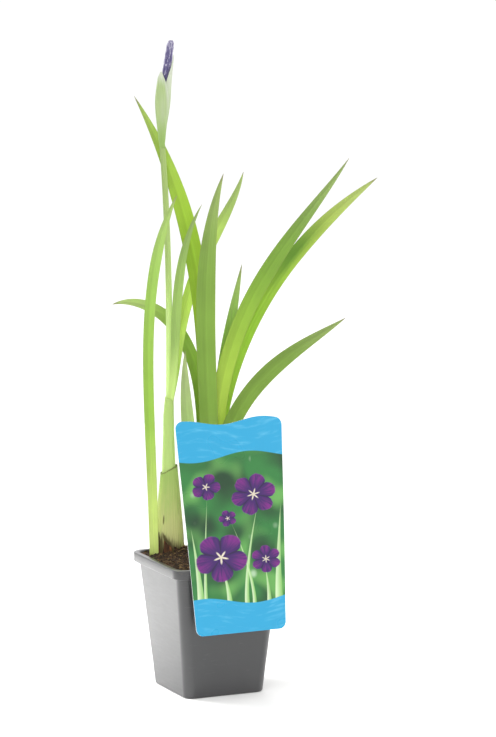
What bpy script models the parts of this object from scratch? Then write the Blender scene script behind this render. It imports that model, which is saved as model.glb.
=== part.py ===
"""A potted Japanese iris in its own frame: metres, +Z up, origin at the middle of the pot's base.

A square nursery pot holds peat, two fans of sword leaves with their sheaths, one young shoot and a
flower stem with a furled bud in its bracts. A picture card hooks over the front rim, which is the
side at -Y.
"""

import math
from dataclasses import dataclass

import bmesh
import bpy
from mathutils import Matrix, Vector

MM = 0.001  # every size below is in millimetres
GAP = 0.3  # left between pieces that touch
CREASE_ANGLE = 40.0  # sharper edges than this stay sharp in the preview

# The pot
POT_HEIGHT = 100.0
RIM_WIDTH = 90.0
RIM_SKIRT = 7.0
RIM_PLATE = 1.0
RIM_REACH = 3.1
RIM_EDGE = 0.6
BASE_WIDTH = 64.0
BASE_PLATE = 1.5
BASE_CHAMFER = 0.8
POT_WALL = 1.0
BASE_CORNER = 7.0
TOP_CORNER = 8.5
CORNER_STEPS = 5
CORNER_SHARE = 0.5  # how much of an inward step the corner radius takes up
CUTTER_REACH = 2.0
DRAIN_SIDES = 12
DRAIN_RADIUS = 4.0
DRAIN_OFFSET = 21.0
SLOT_LENGTH = 13.0
SLOT_WIDTH = 4.0
SLOT_OFFSET = 25.0

# The peat
SOIL_EDGE_HEIGHT = 97.5
SOIL_MOUND = 6.5
SOIL_MOUND_AT = (-7.0, 17.0)
SOIL_MOUND_SPREAD = 27.0
SOIL_RIPPLE = 0.7
SOIL_RIPPLE_LENGTHS = (15.0, 20.0)
SOIL_SHOULDER = 2.0
SOIL_SHOULDER_INSET = 0.4
SOIL_RINGS = 6
HOLLOW_CUT = 20.0

# The picture card
CARD_LEAN = 8.0
CARD_CLEARANCE = 1.0
CARD_THICKNESS = 0.5
CARD_SHIFT = 3.0
CARD_TOP_WIDTH = 86.0
CARD_BOTTOM_WIDTH = 72.0
CARD_BOTTOM = 52.0
CARD_TOP = 206.6
CARD_CORNER = 5.0
CARD_WAVE = 2.1
CARD_WAVE_LENGTH = 62.0
CARD_WAVE_CREST = 25.0
CARD_CORNER_STEPS = 4
CARD_WAVE_STEPS = 12
HOOK_WIDTH = 14.0
HOOK_RISE = 1.3
HOOK_DEPTH = 15.0
HOOK_BEND = 0.9
HOOK_NOTCH_GAPS = 3

# The plant
FOOT_HEIGHT = 100.0
ROOT_DEPTH = 1.5  # how far the feet of the plant reach down into the peat
LEAF_SLOT = 1.7
LEAF_HALF_THICKNESS = 0.6
LEAF_STATIONS = 14
LEAF_FINE_STEPS = 12
LEAF_TIP_CROWDING = 1.4
LEAF_RUN_OUT = 0.85
LEAF_SHOULDER = 0.62  # how thick the leaf is halfway to its edge
LEAF_TIP_THINNING = 1.3
LEAF_FOOT_POWER = 3
LEAF_TWIST_POWER = 3
STEM_SIDES = 10
SHEATH_SIDES = 16
BRACT_STEPS = 8


@dataclass(frozen=True)
class Fan:
    """One shoot: the spot where it leaves the peat, and the bearing of its flat side."""

    foot: tuple
    bearing: float

    def across(self):
        """Return the level direction in which the fan spreads."""
        angle = math.radians(self.bearing)
        return Vector((math.cos(angle), math.sin(angle), 0.0))

    def through(self):
        """Return the level direction in which its leaves are stacked, away from the front."""
        angle = math.radians(self.bearing)
        return Vector((-math.sin(angle), math.cos(angle), 0.0))

    def point(self, aside, behind, rise):
        """Return a point of the fan, measured from its foot."""
        start = Vector((self.foot[0], self.foot[1], FOOT_HEIGHT + rise))
        return start + self.across() * aside + self.through() * behind


FLOWERING_FAN = Fan(foot=(-21.0, 25.0), bearing=-22.0)
LEAFY_FAN = Fan(foot=(12.0, 12.0), bearing=-12.0)
YOUNG_SHOOT = Fan(foot=(-4.0, 10.0), bearing=-20.0)


@dataclass(frozen=True)
class Leaf:
    """One sword leaf: lean is its angle from upright at the foot, a third, two thirds and the tip."""

    name: str
    fan: Fan
    slot: float
    aside: float
    length: float
    width: float
    taper: float
    lean: tuple
    nod: float
    twist: float = 0.0
    rise: float = 1.2
    foot_share: float = 0.85
    planted: bool = True


LEAVES = (
    Leaf("leaf_tall_left", LEAFY_FAN, 1, -3, 350, 14, 125, (-6, -1, -12, -29), 8, 15),
    Leaf("leaf_upright", LEAFY_FAN, -2, -2, 288, 14.5, 105, (-4, -2.5, 0, 17), -10, -15),
    Leaf("leaf_long_right", LEAFY_FAN, -1, 2.5, 322, 13, 125, (-3.5, 7, 31.5, 34), -3, 18),
    Leaf("leaf_far_right", LEAFY_FAN, 2, 2, 327, 11.5, 90, (-6, 12.5, 38.5, 59.5), 18, -12),
    Leaf("leaf_low_right", LEAFY_FAN, -3, 0.5, 217, 13.2, 80, (-3, 12, 45, 54), -16, 15),
    Leaf("leaf_slender", LEAFY_FAN, 0, 0, 217, 10, 85, (0, 2, 9, 12), 6, -20),
    Leaf("leaf_arching", LEAFY_FAN, 3, -3.5, 226, 10, 50, (-7, -1, -21, -113), 25, 25),
    Leaf("leaf_behind_stem", FLOWERING_FAN, 2.1, 1.4, 179, 9.5, 70, (12, 12.5, 28, 16), 24, -15, 118.3, 0.6,
         False),
    Leaf("leaf_before_stem", FLOWERING_FAN, -2.1, 1.4, 149, 7.5, 80, (8, 2.5, 9.5, 29), -10, 15, 118.3, 0.6,
         False),
    Leaf("leaf_outer_left", FLOWERING_FAN, -4.4, -11.6, 275, 8, 60, (-1, -2, 4, 25), -12, -20),
    Leaf("leaf_young", YOUNG_SHOOT, -0.4, 0, 155, 10, 65, (0, -5.5, -5, 2), -8),
)

STEM_LENGTH = 306.0
STEM_LEAN = (-1.0, 0.5, -1.0, -4.0)
STEM_RISE = 0.6
STEM_FOOT_RADIUS = 2.7
STEM_TOP_RADIUS = 2.1
STEM_STATIONS = 10

BUD_LEAN = 5.0
BUD_LENGTH = 76.5
BUD_FOOT_RADIUS = 0.9
BUD_BELLY_RADIUS = 4.0
BUD_TIP_RADIUS = 2.6
BUD_BELLY_AT = 0.45
BUD_TAPER_POWER = 0.9
BUD_FOLDS = 3
BUD_FOLD_DEPTH = 0.12
BUD_TURN = 150.0
BUD_SIDES = 15
BUD_STATIONS = 12
BUD_LIFT = 0.4
BUD_BOW = 1.8
BUD_BLUNT_FROM = 0.95
BUD_BLUNT_SHARE = 0.75

BRACT_THICKNESS = 0.5
BRACT_HALF_ANGLE = 125.0
BRACT_HUG_FROM = 0.92
BRACT_STATIONS = 9
BRACT_THICKENING = 4.0  # full thickness is reached at this share of the length, inverted


@dataclass(frozen=True)
class Bract:
    """One bract of the bud: where it starts and ends, the way its tip faces and how close it lies.

    Fullness says how far up it stays wide, and slimness how fast it then runs to its point.
    """

    name: str
    start: float
    end: float
    facing: float
    clearance: float
    tip_clearance: float
    fullness: float
    slimness: float


BRACTS = (
    Bract("bract_inner", 0.0, 66.0, 0.0, 0.6, 0.4, 3.0, 1.0),
    Bract("bract_outer", -3.0, 53.0, 165.0, 1.85, 0.5, 3.6, 0.5),
)


@dataclass(frozen=True)
class Sheath:
    """A hollow sheath: rows of rise, aside, half width and half depth, and its mouth's slant.

    The dip says how much lower the mouth runs over its two flat faces than at its two edges.
    """

    name: str
    fan: Fan
    rows: tuple
    wall: float
    slant: float
    dip: float = 0.0


SHEATHS = (
    Sheath("sheath_stem", FLOWERING_FAN,
           ((-ROOT_DEPTH, 0, 7.2, 5.8), (35, -0.1, 6.0, 5.4), (64, -0.3, 5.1, 4.8), (90, -0.3, 4.2, 4.2),
            (117, -0.3, 3.9, 3.9)), 0.6, -1.0),
    Sheath("sheath_flowering_fan", FLOWERING_FAN,
           ((-ROOT_DEPTH, 0, 11.6, 8.4), (18, 0, 10.5, 7.8), (40, 0, 8.6, 7.0),
            (63.5, -0.2, 6.4, 6.0)), 0.8, 3.2),
    Sheath("sheath_leafy_fan", LEAFY_FAN,
           ((-ROOT_DEPTH, -0.5, 11.6, 7.4), (10, -0.5, 12.0, 7.6), (20, -0.5, 12.7, 7.95),
            (30, -0.5, 13.5, 8.15)), 0.8, 3.0, 6.0),
)
SHEATH_ROUNDNESS = 3.0


@dataclass(frozen=True)
class Finish:
    """A plain surface: its colour as the eye sees it, 0 to 255, and its roughness."""

    colour: tuple
    roughness: float

    def material(self, name):
        """Return the material of this name, made on first use."""
        made = bpy.data.materials.get(name)
        if made:
            return made
        made = bpy.data.materials.new(name)
        made.use_nodes = True
        shader = made.node_tree.nodes["Principled BSDF"]
        linear = [linear_light(level / 255.0) for level in self.colour]
        shader.inputs["Base Color"].default_value = (*linear, 1.0)
        shader.inputs["Roughness"].default_value = self.roughness
        shader.inputs["Metallic"].default_value = 0.0
        made.diffuse_color = (*linear, 1.0)
        return made


def linear_light(level):
    """Turn a display level, 0 to 1, into linear light."""
    if level <= 0.04045:
        return level / 12.92
    return ((level + 0.055) / 1.055) ** 2.4


FINISHES = {
    "pot_plastic": Finish((52, 52, 54), 0.42),
    "peat": Finish((62, 44, 32), 0.95),
    "card": Finish((58, 182, 228), 0.3),
    "leaf_green": Finish((140, 184, 66), 0.45),
    "stem_green": Finish((158, 196, 104), 0.45),
    "sheath_pale": Finish((198, 206, 124), 0.5),
    "bract_green": Finish((172, 198, 138), 0.5),
    "bud_purple": Finish((92, 78, 142), 0.5),
}


def mix(start, end, share):
    """Return the value that lies this share of the way from start to end."""
    return start + (end - start) * share


def along_lean(lean, share):
    """Return the smooth curve through four evenly spaced angles, read at a share of the length."""
    total = 0.0
    for index, angle in enumerate(lean):
        weight = 1.0
        for other in range(4):
            if other != index:
                weight *= (share * 3 - other) / (index - other)
        total += angle * weight
    return math.radians(total)


def clear_scene():
    """Remove the objects that the file opened with."""
    for old in list(bpy.data.objects):
        bpy.data.objects.remove(old, do_unlink=True)


def add_object(name, mesh_data, finish_name):
    """Scale a mesh from millimetres, link it as an object and give it its finish."""
    bmesh.ops.recalc_face_normals(mesh_data, faces=mesh_data.faces)
    bmesh.ops.transform(mesh_data, matrix=Matrix.Scale(MM, 4), verts=mesh_data.verts)
    mesh = bpy.data.meshes.new(name)
    mesh_data.to_mesh(mesh)
    mesh_data.free()
    mesh.shade_smooth()
    mesh.set_sharp_from_angle(angle=math.radians(CREASE_ANGLE))
    made = bpy.data.objects.new(name, mesh)
    bpy.context.scene.collection.objects.link(made)
    if finish_name:
        mesh.materials.append(FINISHES[finish_name].material(finish_name))
    return made


def bridge(mesh_data, lower, upper):
    """Join two loops of the same count, or a loop and a single point, with faces."""
    count = max(len(lower), len(upper))
    for index in range(count):
        after = (index + 1) % count
        corners = [lower[index % len(lower)], lower[after % len(lower)],
                   upper[after % len(upper)], upper[index % len(upper)]]
        unique = list(dict.fromkeys(corners))
        mesh_data.faces.new(unique)


def loft(name, loops, finish_name):
    """Skin a row of loops and close both ends; a last loop of one point is a tip."""
    mesh_data = bmesh.new()
    rows = [[mesh_data.verts.new(point) for point in loop] for loop in loops]
    for lower, upper in zip(rows, rows[1:]):
        bridge(mesh_data, lower, upper)
    for end in (rows[0], rows[-1]):
        if len(end) > 2:
            mesh_data.faces.new(end)
    return add_object(name, mesh_data, finish_name)


def loft_tube(name, loops, finish_name):
    """Skin loops that run out and back in, such as a tube's, and join the last to the first."""
    mesh_data = bmesh.new()
    rows = [[mesh_data.verts.new(point) for point in loop] for loop in loops]
    for lower, upper in zip(rows, rows[1:] + rows[:1]):
        bridge(mesh_data, lower, upper)
    return add_object(name, mesh_data, finish_name)


def cut(target, cutter, operation="DIFFERENCE"):
    """Cut or join one object with a hidden guide."""
    cutter.hide_render = True
    cutter.display_type = "WIRE"
    step = target.modifiers.new(cutter.name, "BOOLEAN")
    step.operation = operation
    step.object = cutter


def rounded_square(half, corner, height):
    """Return the points of a square with round corners, at one height."""
    points = []
    for quarter in range(4):
        turn = math.pi / 2 * quarter
        centre = Vector((half - corner, half - corner, 0.0))
        for step in range(CORNER_STEPS + 1):
            angle = math.pi / 2 * step / CORNER_STEPS
            spot = centre + Vector((math.cos(angle), math.sin(angle), 0.0)) * corner
            spot.rotate(Matrix.Rotation(turn, 3, "Z"))
            points.append(Vector((spot.x, spot.y, height)))
    return points


def wall_half(height):
    """Return the outer half width of the pot's wall at a height."""
    top_half = RIM_WIDTH / 2 - RIM_REACH
    return mix(BASE_WIDTH / 2, top_half, height / POT_HEIGHT)


def wall_corner(height):
    """Return the corner radius of the pot's wall at a height."""
    return mix(BASE_CORNER, TOP_CORNER, height / POT_HEIGHT)


def wall_loop(height, inward):
    """Return the wall's outline at a height, moved inward by a distance."""
    corner = wall_corner(height) - inward * CORNER_SHARE
    return rounded_square(wall_half(height) - inward, corner, height)


def rim_loop(inward, height):
    """Return the rim's outline, moved inward from its outer face, at a height."""
    corner = TOP_CORNER + (RIM_REACH - inward) * CORNER_SHARE
    return rounded_square(RIM_WIDTH / 2 - inward, corner, height)


def build_pot():
    """Make the pot: a tapered square tub whose rim turns out and down."""
    under_plate = POT_HEIGHT - RIM_PLATE
    skirt_foot = POT_HEIGHT - RIM_SKIRT
    loops = [
        rounded_square(BASE_WIDTH / 2 - BASE_CHAMFER, BASE_CORNER - BASE_CHAMFER, 0.0),
        wall_loop(BASE_CHAMFER, 0.0),
        wall_loop(under_plate, 0.0),
        rim_loop(POT_WALL, under_plate),
        rim_loop(POT_WALL, skirt_foot),
        rim_loop(0.0, skirt_foot),
        rim_loop(0.0, POT_HEIGHT - RIM_EDGE),
        rim_loop(RIM_EDGE, POT_HEIGHT),
        wall_loop(POT_HEIGHT, POT_WALL - RIM_EDGE),
        wall_loop(POT_HEIGHT - RIM_EDGE, POT_WALL),
        wall_loop(BASE_PLATE, POT_WALL),
    ]
    pot = loft("pot", loops, "pot_plastic")
    for index, (side_x, side_y) in enumerate(((1, 1), (-1, 1), (-1, -1), (1, -1))):
        hole = loft(f"guide_drain_{index}", drain_loops(side_x, side_y), None)
        cut(pot, hole)
    for index in range(4):
        cut(pot, drain_slot(index))
    return pot


def drain_loops(side_x, side_y):
    """Return the two ends of a round drain hole's cutter near one corner of the base."""
    loops = []
    for height in (-CUTTER_REACH, BASE_PLATE + CUTTER_REACH):
        loop = []
        for step in range(DRAIN_SIDES):
            angle = math.tau * (step + 0.5) / DRAIN_SIDES
            loop.append(Vector((side_x * DRAIN_OFFSET + math.cos(angle) * DRAIN_RADIUS,
                                side_y * DRAIN_OFFSET + math.sin(angle) * DRAIN_RADIUS, height)))
        loops.append(loop)
    return loops


def drain_slot(index):
    """Return the cutter of the drain slot on one side of the base."""
    loops = []
    for height in (-CUTTER_REACH, BASE_PLATE + CUTTER_REACH):
        corners = []
        for along, outward in ((-1, -1), (1, -1), (1, 1), (-1, 1)):
            spot = Vector((along * SLOT_LENGTH / 2, SLOT_OFFSET + outward * SLOT_WIDTH / 2, height))
            spot.rotate(Matrix.Rotation(math.pi / 2 * index, 3, "Z"))
            corners.append(spot)
        loops.append(corners)
    return loft(f"guide_slot_{index}", loops, None)


def soil_height(x, y):
    """Return the height of the peat: heaped round the plant, level with the rim at the wall."""
    reach = math.hypot(x - SOIL_MOUND_AT[0], y - SOIL_MOUND_AT[1]) / SOIL_MOUND_SPREAD
    heap = SOIL_MOUND * math.exp(-reach * reach)
    length_x, length_y = SOIL_RIPPLE_LENGTHS
    ripple = math.sin(math.tau * x / length_x) * math.cos(math.tau * y / length_y + 1.0)
    return SOIL_EDGE_HEIGHT + heap + SOIL_RIPPLE * ripple


def build_soil():
    """Make the block of peat that fills the pot, with a hollow for each foot of the plant."""
    inward = POT_WALL + GAP
    loops = [wall_loop(BASE_PLATE + GAP, inward), wall_loop(SOIL_EDGE_HEIGHT - SOIL_SHOULDER, inward)]
    rim = wall_loop(SOIL_EDGE_HEIGHT, inward + SOIL_SHOULDER_INSET)
    for ring in range(SOIL_RINGS):
        share = 1.0 - ring / SOIL_RINGS
        loop = [Vector((spot.x * share, spot.y * share, 0.0)) for spot in rim]
        for spot in loop:
            spot.z = soil_height(spot.x, spot.y)
        loops.append(loop)
    loops.append([Vector((0.0, 0.0, soil_height(0.0, 0.0)))])
    soil = loft("soil", loops, "peat")
    hollows = (
        (FLOWERING_FAN, 0.0, 0.0, 12.2, 9.1),
        (FLOWERING_FAN, -11.6, -4.4 * LEAF_SLOT, 4.6, 1.6),
        (LEAFY_FAN, -0.5, 0.0, 12.5, 8.2),
        (YOUNG_SHOOT, 0.0, -0.4 * LEAF_SLOT, 5.8, 1.7),
    )
    for index, (fan, aside, behind, half_width, half_depth) in enumerate(hollows):
        ends = [oval(fan, aside, behind, half_width, half_depth, rise)
                for rise in (-ROOT_DEPTH - GAP, HOLLOW_CUT)]
        cut(soil, loft(f"guide_hollow_{index}", ends, None))
    cut(soil, hook_notch())
    return soil


def oval(fan, aside, behind, half_width, half_depth, rise, slant=0.0, dip=0.0):
    """Return a flattened oval of a fan; slant tips it and dip lowers it over its flat faces."""
    power = 2 / SHEATH_ROUNDNESS
    points = []
    for step in range(SHEATH_SIDES):
        angle = math.tau * step / SHEATH_SIDES
        wide = math.copysign(abs(math.cos(angle)) ** power, math.cos(angle))
        deep = math.copysign(abs(math.sin(angle)) ** power, math.sin(angle))
        points.append(fan.point(aside + wide * half_width, behind + deep * half_depth,
                                rise + slant * wide - dip * (1.0 - wide * wide)))
    return points


def build_sheath(sheath):
    """Make one hollow sheath, which narrows as it rises and ends in a slanting mouth."""
    outer = []
    inner = []
    for rise, aside, half_width, half_depth in sheath.rows:
        at_mouth = rise == sheath.rows[-1][0]
        slant = sheath.slant if at_mouth else 0.0
        dip = sheath.dip if at_mouth else 0.0
        outer.append(oval(sheath.fan, aside, 0.0, half_width, half_depth, rise, slant, dip))
        inner.append(oval(sheath.fan, aside, 0.0, half_width - sheath.wall,
                          half_depth - sheath.wall, rise, slant, dip))
    return loft_tube(sheath.name, outer + inner[::-1], "sheath_pale")


def leaf_frames(fan, aside, behind, rise, length, lean, nod, shares):
    """Walk along a leaf and return its centre, direction, width direction and face direction."""
    frames = []
    centre = fan.point(aside, behind, rise)
    travelled = 0.0
    for share in shares:
        while travelled < share - 1e-9:
            step = min(1.0 / (LEAF_STATIONS * LEAF_FINE_STEPS), share - travelled)
            centre = centre + leaf_direction(fan, lean, nod, travelled + step / 2)[0] * (step * length)
            travelled += step
        heading, wide = leaf_direction(fan, lean, nod, share)
        frames.append((centre.copy(), heading, wide, wide.cross(heading)))
    return frames


def leaf_direction(fan, lean, nod, share):
    """Return a leaf's heading and the direction of its width at a share of its length."""
    side = along_lean(lean, share)
    back = math.radians(nod) * share * share
    across = fan.across()
    up = Vector((0.0, 0.0, 1.0))
    level = across * math.sin(side) + up * math.cos(side)
    heading = level * math.cos(back) + fan.through() * math.sin(back)
    return heading, across * math.cos(side) - up * math.sin(side)


def leaf_width(leaf, share):
    """Return the leaf's width at a share of its length: even, then running out to the tip."""
    left = leaf.length * (1.0 - share)
    run_out = math.sin(math.pi / 2 * min(1.0, left / leaf.taper)) ** LEAF_RUN_OUT
    foot = 1.0 - (1.0 - leaf.foot_share) * (1.0 - share) ** LEAF_FOOT_POWER
    return leaf.width * foot * run_out


def build_leaf(leaf):
    """Make one leaf: a thin lens with a midrib, lofted along its curve to a sharp tip."""
    shares = [1.0 - (1.0 - step / LEAF_STATIONS) ** LEAF_TIP_CROWDING for step in range(LEAF_STATIONS + 1)]
    frames = leaf_frames(leaf.fan, leaf.aside, leaf.slot * LEAF_SLOT, leaf.rise, leaf.length,
                         leaf.lean, leaf.nod, shares)
    section = ((-1.0, 0.0), (-0.5, -LEAF_SHOULDER), (0.0, -1.0), (0.5, -LEAF_SHOULDER),
               (1.0, 0.0), (0.5, LEAF_SHOULDER), (0.0, 1.0), (-0.5, LEAF_SHOULDER))
    loops = []
    for share, (centre, heading, wide, face) in zip(shares[:-1], frames[:-1]):
        half = leaf_width(leaf, share) / 2
        thick = LEAF_HALF_THICKNESS * min(1.0, half * 2 / leaf.width * LEAF_TIP_THINNING)
        turn = Matrix.Rotation(math.radians(leaf.twist) * share**LEAF_TWIST_POWER, 3, heading)
        loops.append([centre + turn @ (wide * (side * half) + face * (depth * thick))
                      for side, depth in section])
    loops.append([frames[-1][0]])
    if leaf.planted:
        loops.insert(0, rooted(loops[0]))
    return loft(leaf.name, loops, "leaf_green")


def rooted(loop):
    """Return a foot's loop taken straight down to where the plant stands in the peat."""
    return [Vector((spot.x, spot.y, FOOT_HEIGHT - ROOT_DEPTH)) for spot in loop]


def stem_frames(shares):
    """Return the frames along the flower stem."""
    return leaf_frames(FLOWERING_FAN, 0.0, 0.0, STEM_RISE, STEM_LENGTH, STEM_LEAN, 0.0, shares)


def build_stem():
    """Make the round flower stem."""
    shares = [step / STEM_STATIONS for step in range(STEM_STATIONS + 1)]
    loops = []
    for share, (centre, _, wide, face) in zip(shares, stem_frames(shares)):
        radius = mix(STEM_FOOT_RADIUS, STEM_TOP_RADIUS, share)
        loops.append(ring(centre, wide, face, radius, STEM_SIDES))
    loops.insert(0, rooted(loops[0]))
    return loft("stem", loops, "stem_green")


def ring(centre, wide, face, radius, sides):
    """Return a circle of points round a centre, in the plane of two directions."""
    points = []
    for step in range(sides):
        angle = math.tau * step / sides
        points.append(centre + wide * (math.cos(angle) * radius) + face * (math.sin(angle) * radius))
    return points


def bud_radius(share):
    """Return the bud's radius at a share of its length: a narrow foot, a belly, a blunt tip."""
    if share < BUD_BELLY_AT:
        swell = (1.0 - math.cos(math.pi * max(0.0, share) / BUD_BELLY_AT)) / 2
        return mix(BUD_FOOT_RADIUS, BUD_BELLY_RADIUS, swell)
    beyond = (share - BUD_BELLY_AT) / (1.0 - BUD_BELLY_AT)
    return mix(BUD_BELLY_RADIUS, BUD_TIP_RADIUS, beyond**BUD_TAPER_POWER)


def bud_blunting(share):
    """Return how much of the radius is left at a share of the bud's length, where its tip rounds off."""
    past = max(0.0, share - BUD_BLUNT_FROM) / (1.0 - BUD_BLUNT_FROM)
    return math.sqrt(1.0 - BUD_BLUNT_SHARE * past * past)


def bud_axes():
    """Return the bud's foot, its direction and the two directions across it."""
    top = stem_frames([1.0])[0][0]
    heading, wide = leaf_direction(FLOWERING_FAN, (BUD_LEAN,) * 4, 0.0, 0.0)
    return top + heading * (GAP + BUD_LIFT), heading, wide, wide.cross(heading)


def bud_spine(rise):
    """Return the middle of the bud at a rise above its foot; it bows to the left as it swells."""
    foot, heading, wide, _ = bud_axes()
    bow = BUD_BOW * math.sin(math.pi * min(1.0, max(0.0, rise / BUD_LENGTH)))
    if rise < 0:
        return foot + stem_frames([1.0])[0][1] * rise
    return foot + heading * rise - wide * bow


def build_bud():
    """Make the furled flower: petals rolled round each other, which turn as they rise."""
    _, _, wide, face = bud_axes()
    loops = []
    shares = [station / BUD_STATIONS for station in range(BUD_STATIONS)]
    for share in shares + [(1.0 + BUD_BLUNT_FROM) / 2, 1.0]:
        turn = math.radians(BUD_TURN) * share
        folds = BUD_FOLD_DEPTH * max(0.0, share - 0.5) * 2
        loop = []
        for step in range(BUD_SIDES):
            angle = math.tau * step / BUD_SIDES
            furl = 1.0 - folds * (1 + math.cos(BUD_FOLDS * angle - turn)) / 2
            radius = bud_radius(share) * bud_blunting(share) * furl
            spot = wide * math.cos(angle) + face * math.sin(angle)
            loop.append(bud_spine(share * BUD_LENGTH) + spot * radius)
        loops.append(loop)
    return loft("bud", loops, "bud_purple")


def bract_radius(bract, share):
    """Return the bract's inner radius at a share of its length; its tip closes in on the bud."""
    rise = mix(bract.start, bract.end, share)
    hug = max(0.0, share - BRACT_HUG_FROM) / (1.0 - BRACT_HUG_FROM)
    return bud_radius(rise / BUD_LENGTH) + mix(bract.clearance, bract.tip_clearance, hug)


def build_bract(bract):
    """Make one bract: a thin leaf wrapped round the bud, narrowing to a point at its facing side."""
    _, _, wide, face = bud_axes()
    loops = []
    for station in range(BRACT_STATIONS):
        share = math.sin(math.pi / 2 * station / BRACT_STATIONS)
        rise = mix(bract.start, bract.end, share)
        inner = bract_radius(bract, share)
        outer = inner + mix(BRACT_THICKNESS / 2, BRACT_THICKNESS, min(1.0, share * BRACT_THICKENING))
        spread = BRACT_HALF_ANGLE * (1.0 - share**bract.fullness) ** bract.slimness
        arc = []
        for step in range(BRACT_STEPS + 1):
            angle = math.radians(bract.facing + spread * (2 * step / BRACT_STEPS - 1))
            arc.append(wide * math.cos(angle) + face * math.sin(angle))
        centre = bud_spine(rise)
        loops.append([centre + spot * inner for spot in arc] + [centre + spot * outer for spot in arc[::-1]])
    middle = math.radians(bract.facing)
    side = wide * math.cos(middle) + face * math.sin(middle)
    tip_radius = bract_radius(bract, 1.0) + BRACT_THICKNESS / 2
    loops.append([bud_spine(bract.end) + side * tip_radius])
    return loft(bract.name, loops, "bract_green")


def card_point(u, v, depth):
    """Return a point of the picture card: u to the right, v the height above the base, depth back."""
    lean = math.radians(CARD_LEAN)
    rise = (v - POT_HEIGHT) / math.cos(lean)
    start = Vector((CARD_SHIFT, -RIM_WIDTH / 2 - CARD_CLEARANCE, POT_HEIGHT))
    up = Vector((0.0, math.sin(lean), math.cos(lean)))
    back = Vector((0.0, math.cos(lean), -math.sin(lean)))
    return start + Vector((1.0, 0.0, 0.0)) * u + up * rise + back * depth


def card_outline():
    """Return the card's outline in u and v: a trapezium with round corners and a wavy top."""
    points = []
    lower = CARD_BOTTOM_WIDTH / 2
    upper = CARD_TOP_WIDTH / 2
    corners = (
        (-lower + CARD_CORNER, CARD_BOTTOM + CARD_CORNER, 180.0),
        (lower - CARD_CORNER, CARD_BOTTOM + CARD_CORNER, 270.0),
        (upper - CARD_CORNER, CARD_TOP - CARD_CORNER, 0.0),
        (-upper + CARD_CORNER, CARD_TOP - CARD_CORNER, 90.0),
    )
    for index, (u, v, start) in enumerate(corners):
        for step in range(CARD_CORNER_STEPS + 1):
            angle = math.radians(start + 90.0 * step / CARD_CORNER_STEPS)
            spot_u = u + math.cos(angle) * CARD_CORNER
            lift = wave(spot_u) if index > 1 else 0.0
            points.append((spot_u, v + math.sin(angle) * CARD_CORNER + lift))
        if index == 2:
            points += top_edge(upper - CARD_CORNER)
    return points


def wave(u):
    """Return how far the card's top edge rises above its mean at u."""
    return CARD_WAVE * math.cos(math.tau * (u - CARD_WAVE_CREST) / CARD_WAVE_LENGTH)


def top_edge(half):
    """Return the points of the card's wavy top between its round corners, right to left."""
    points = []
    for step in range(1, CARD_WAVE_STEPS):
        u = mix(half, -half, step / CARD_WAVE_STEPS)
        points.append((u, CARD_TOP + wave(u)))
    return points


def build_card():
    """Make the picture card with the tongue that hooks it over the front rim."""
    outline = card_outline()
    loops = [[card_point(u, v, depth) for u, v in outline]
             for depth in (-CARD_THICKNESS / 2, CARD_THICKNESS / 2)]
    card = loft("label", loops, "card")
    tongue = loft("guide_tongue", tongue_loops(), None)
    cut(card, tongue, "UNION")
    return card


def tongue_loops():
    """Return the two sides of the tongue: back over the rim, then down inside the wall."""
    half = CARD_THICKNESS / 2
    plate = POT_HEIGHT + HOOK_RISE
    inside = -(wall_half(POT_HEIGHT) - POT_WALL - GAP - half)
    slope = (wall_half(POT_HEIGHT) - wall_half(0.0)) / POT_HEIGHT
    foot_y = inside + slope * HOOK_DEPTH
    foot = POT_HEIGHT - HOOK_DEPTH
    front_y = card_point(0.0, plate, 0.0).y
    profile = (
        (front_y, plate - half), (front_y, plate + half),
        (inside - HOOK_BEND + half, plate + half), (inside + half, plate - HOOK_BEND),
        (foot_y + half, foot), (foot_y - half, foot),
        (inside - half, plate - HOOK_BEND), (inside - HOOK_BEND, plate - half),
    )
    return [[Vector((side * HOOK_WIDTH / 2, y, z)) for y, z in profile] for side in (-1, 1)]


def hook_notch():
    """Return the cutter that keeps the peat clear of the card's tongue."""
    foot = POT_HEIGHT - HOOK_DEPTH - GAP
    front_y = -RIM_WIDTH / 2
    back_y = -(wall_half(foot) - POT_WALL - GAP * HOOK_NOTCH_GAPS - CARD_THICKNESS)
    half = HOOK_WIDTH / 2 + GAP
    loops = []
    for height in (foot, foot + HOLLOW_CUT):
        loops.append([Vector((x, y, height))
                      for x, y in ((-half, front_y), (half, front_y), (half, back_y), (-half, back_y))])
    return loft("guide_notch", loops, None)


def main():
    """Build every piece."""
    clear_scene()
    build_pot()
    build_soil()
    build_card()
    for leaf in LEAVES:
        build_leaf(leaf)
    for sheath in SHEATHS:
        build_sheath(sheath)
    build_stem()
    build_bud()
    for bract in BRACTS:
        build_bract(bract)


if __name__ == "__main__":
    main()
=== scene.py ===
"""The looks of a potted Japanese iris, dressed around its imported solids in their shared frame.

Sizes in the classes are in millimetres and degrees. Meshes are made in metres, +Z up, and the
picture card hangs on the side at -Y.
"""

from __future__ import annotations

import logging
import math
from dataclasses import dataclass
from enum import Enum
from functools import cache, cached_property, partialmethod
from typing import Any, Callable, Sequence, Union

import bmesh
import bpy
from mathutils import Matrix, Vector, noise


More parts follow.
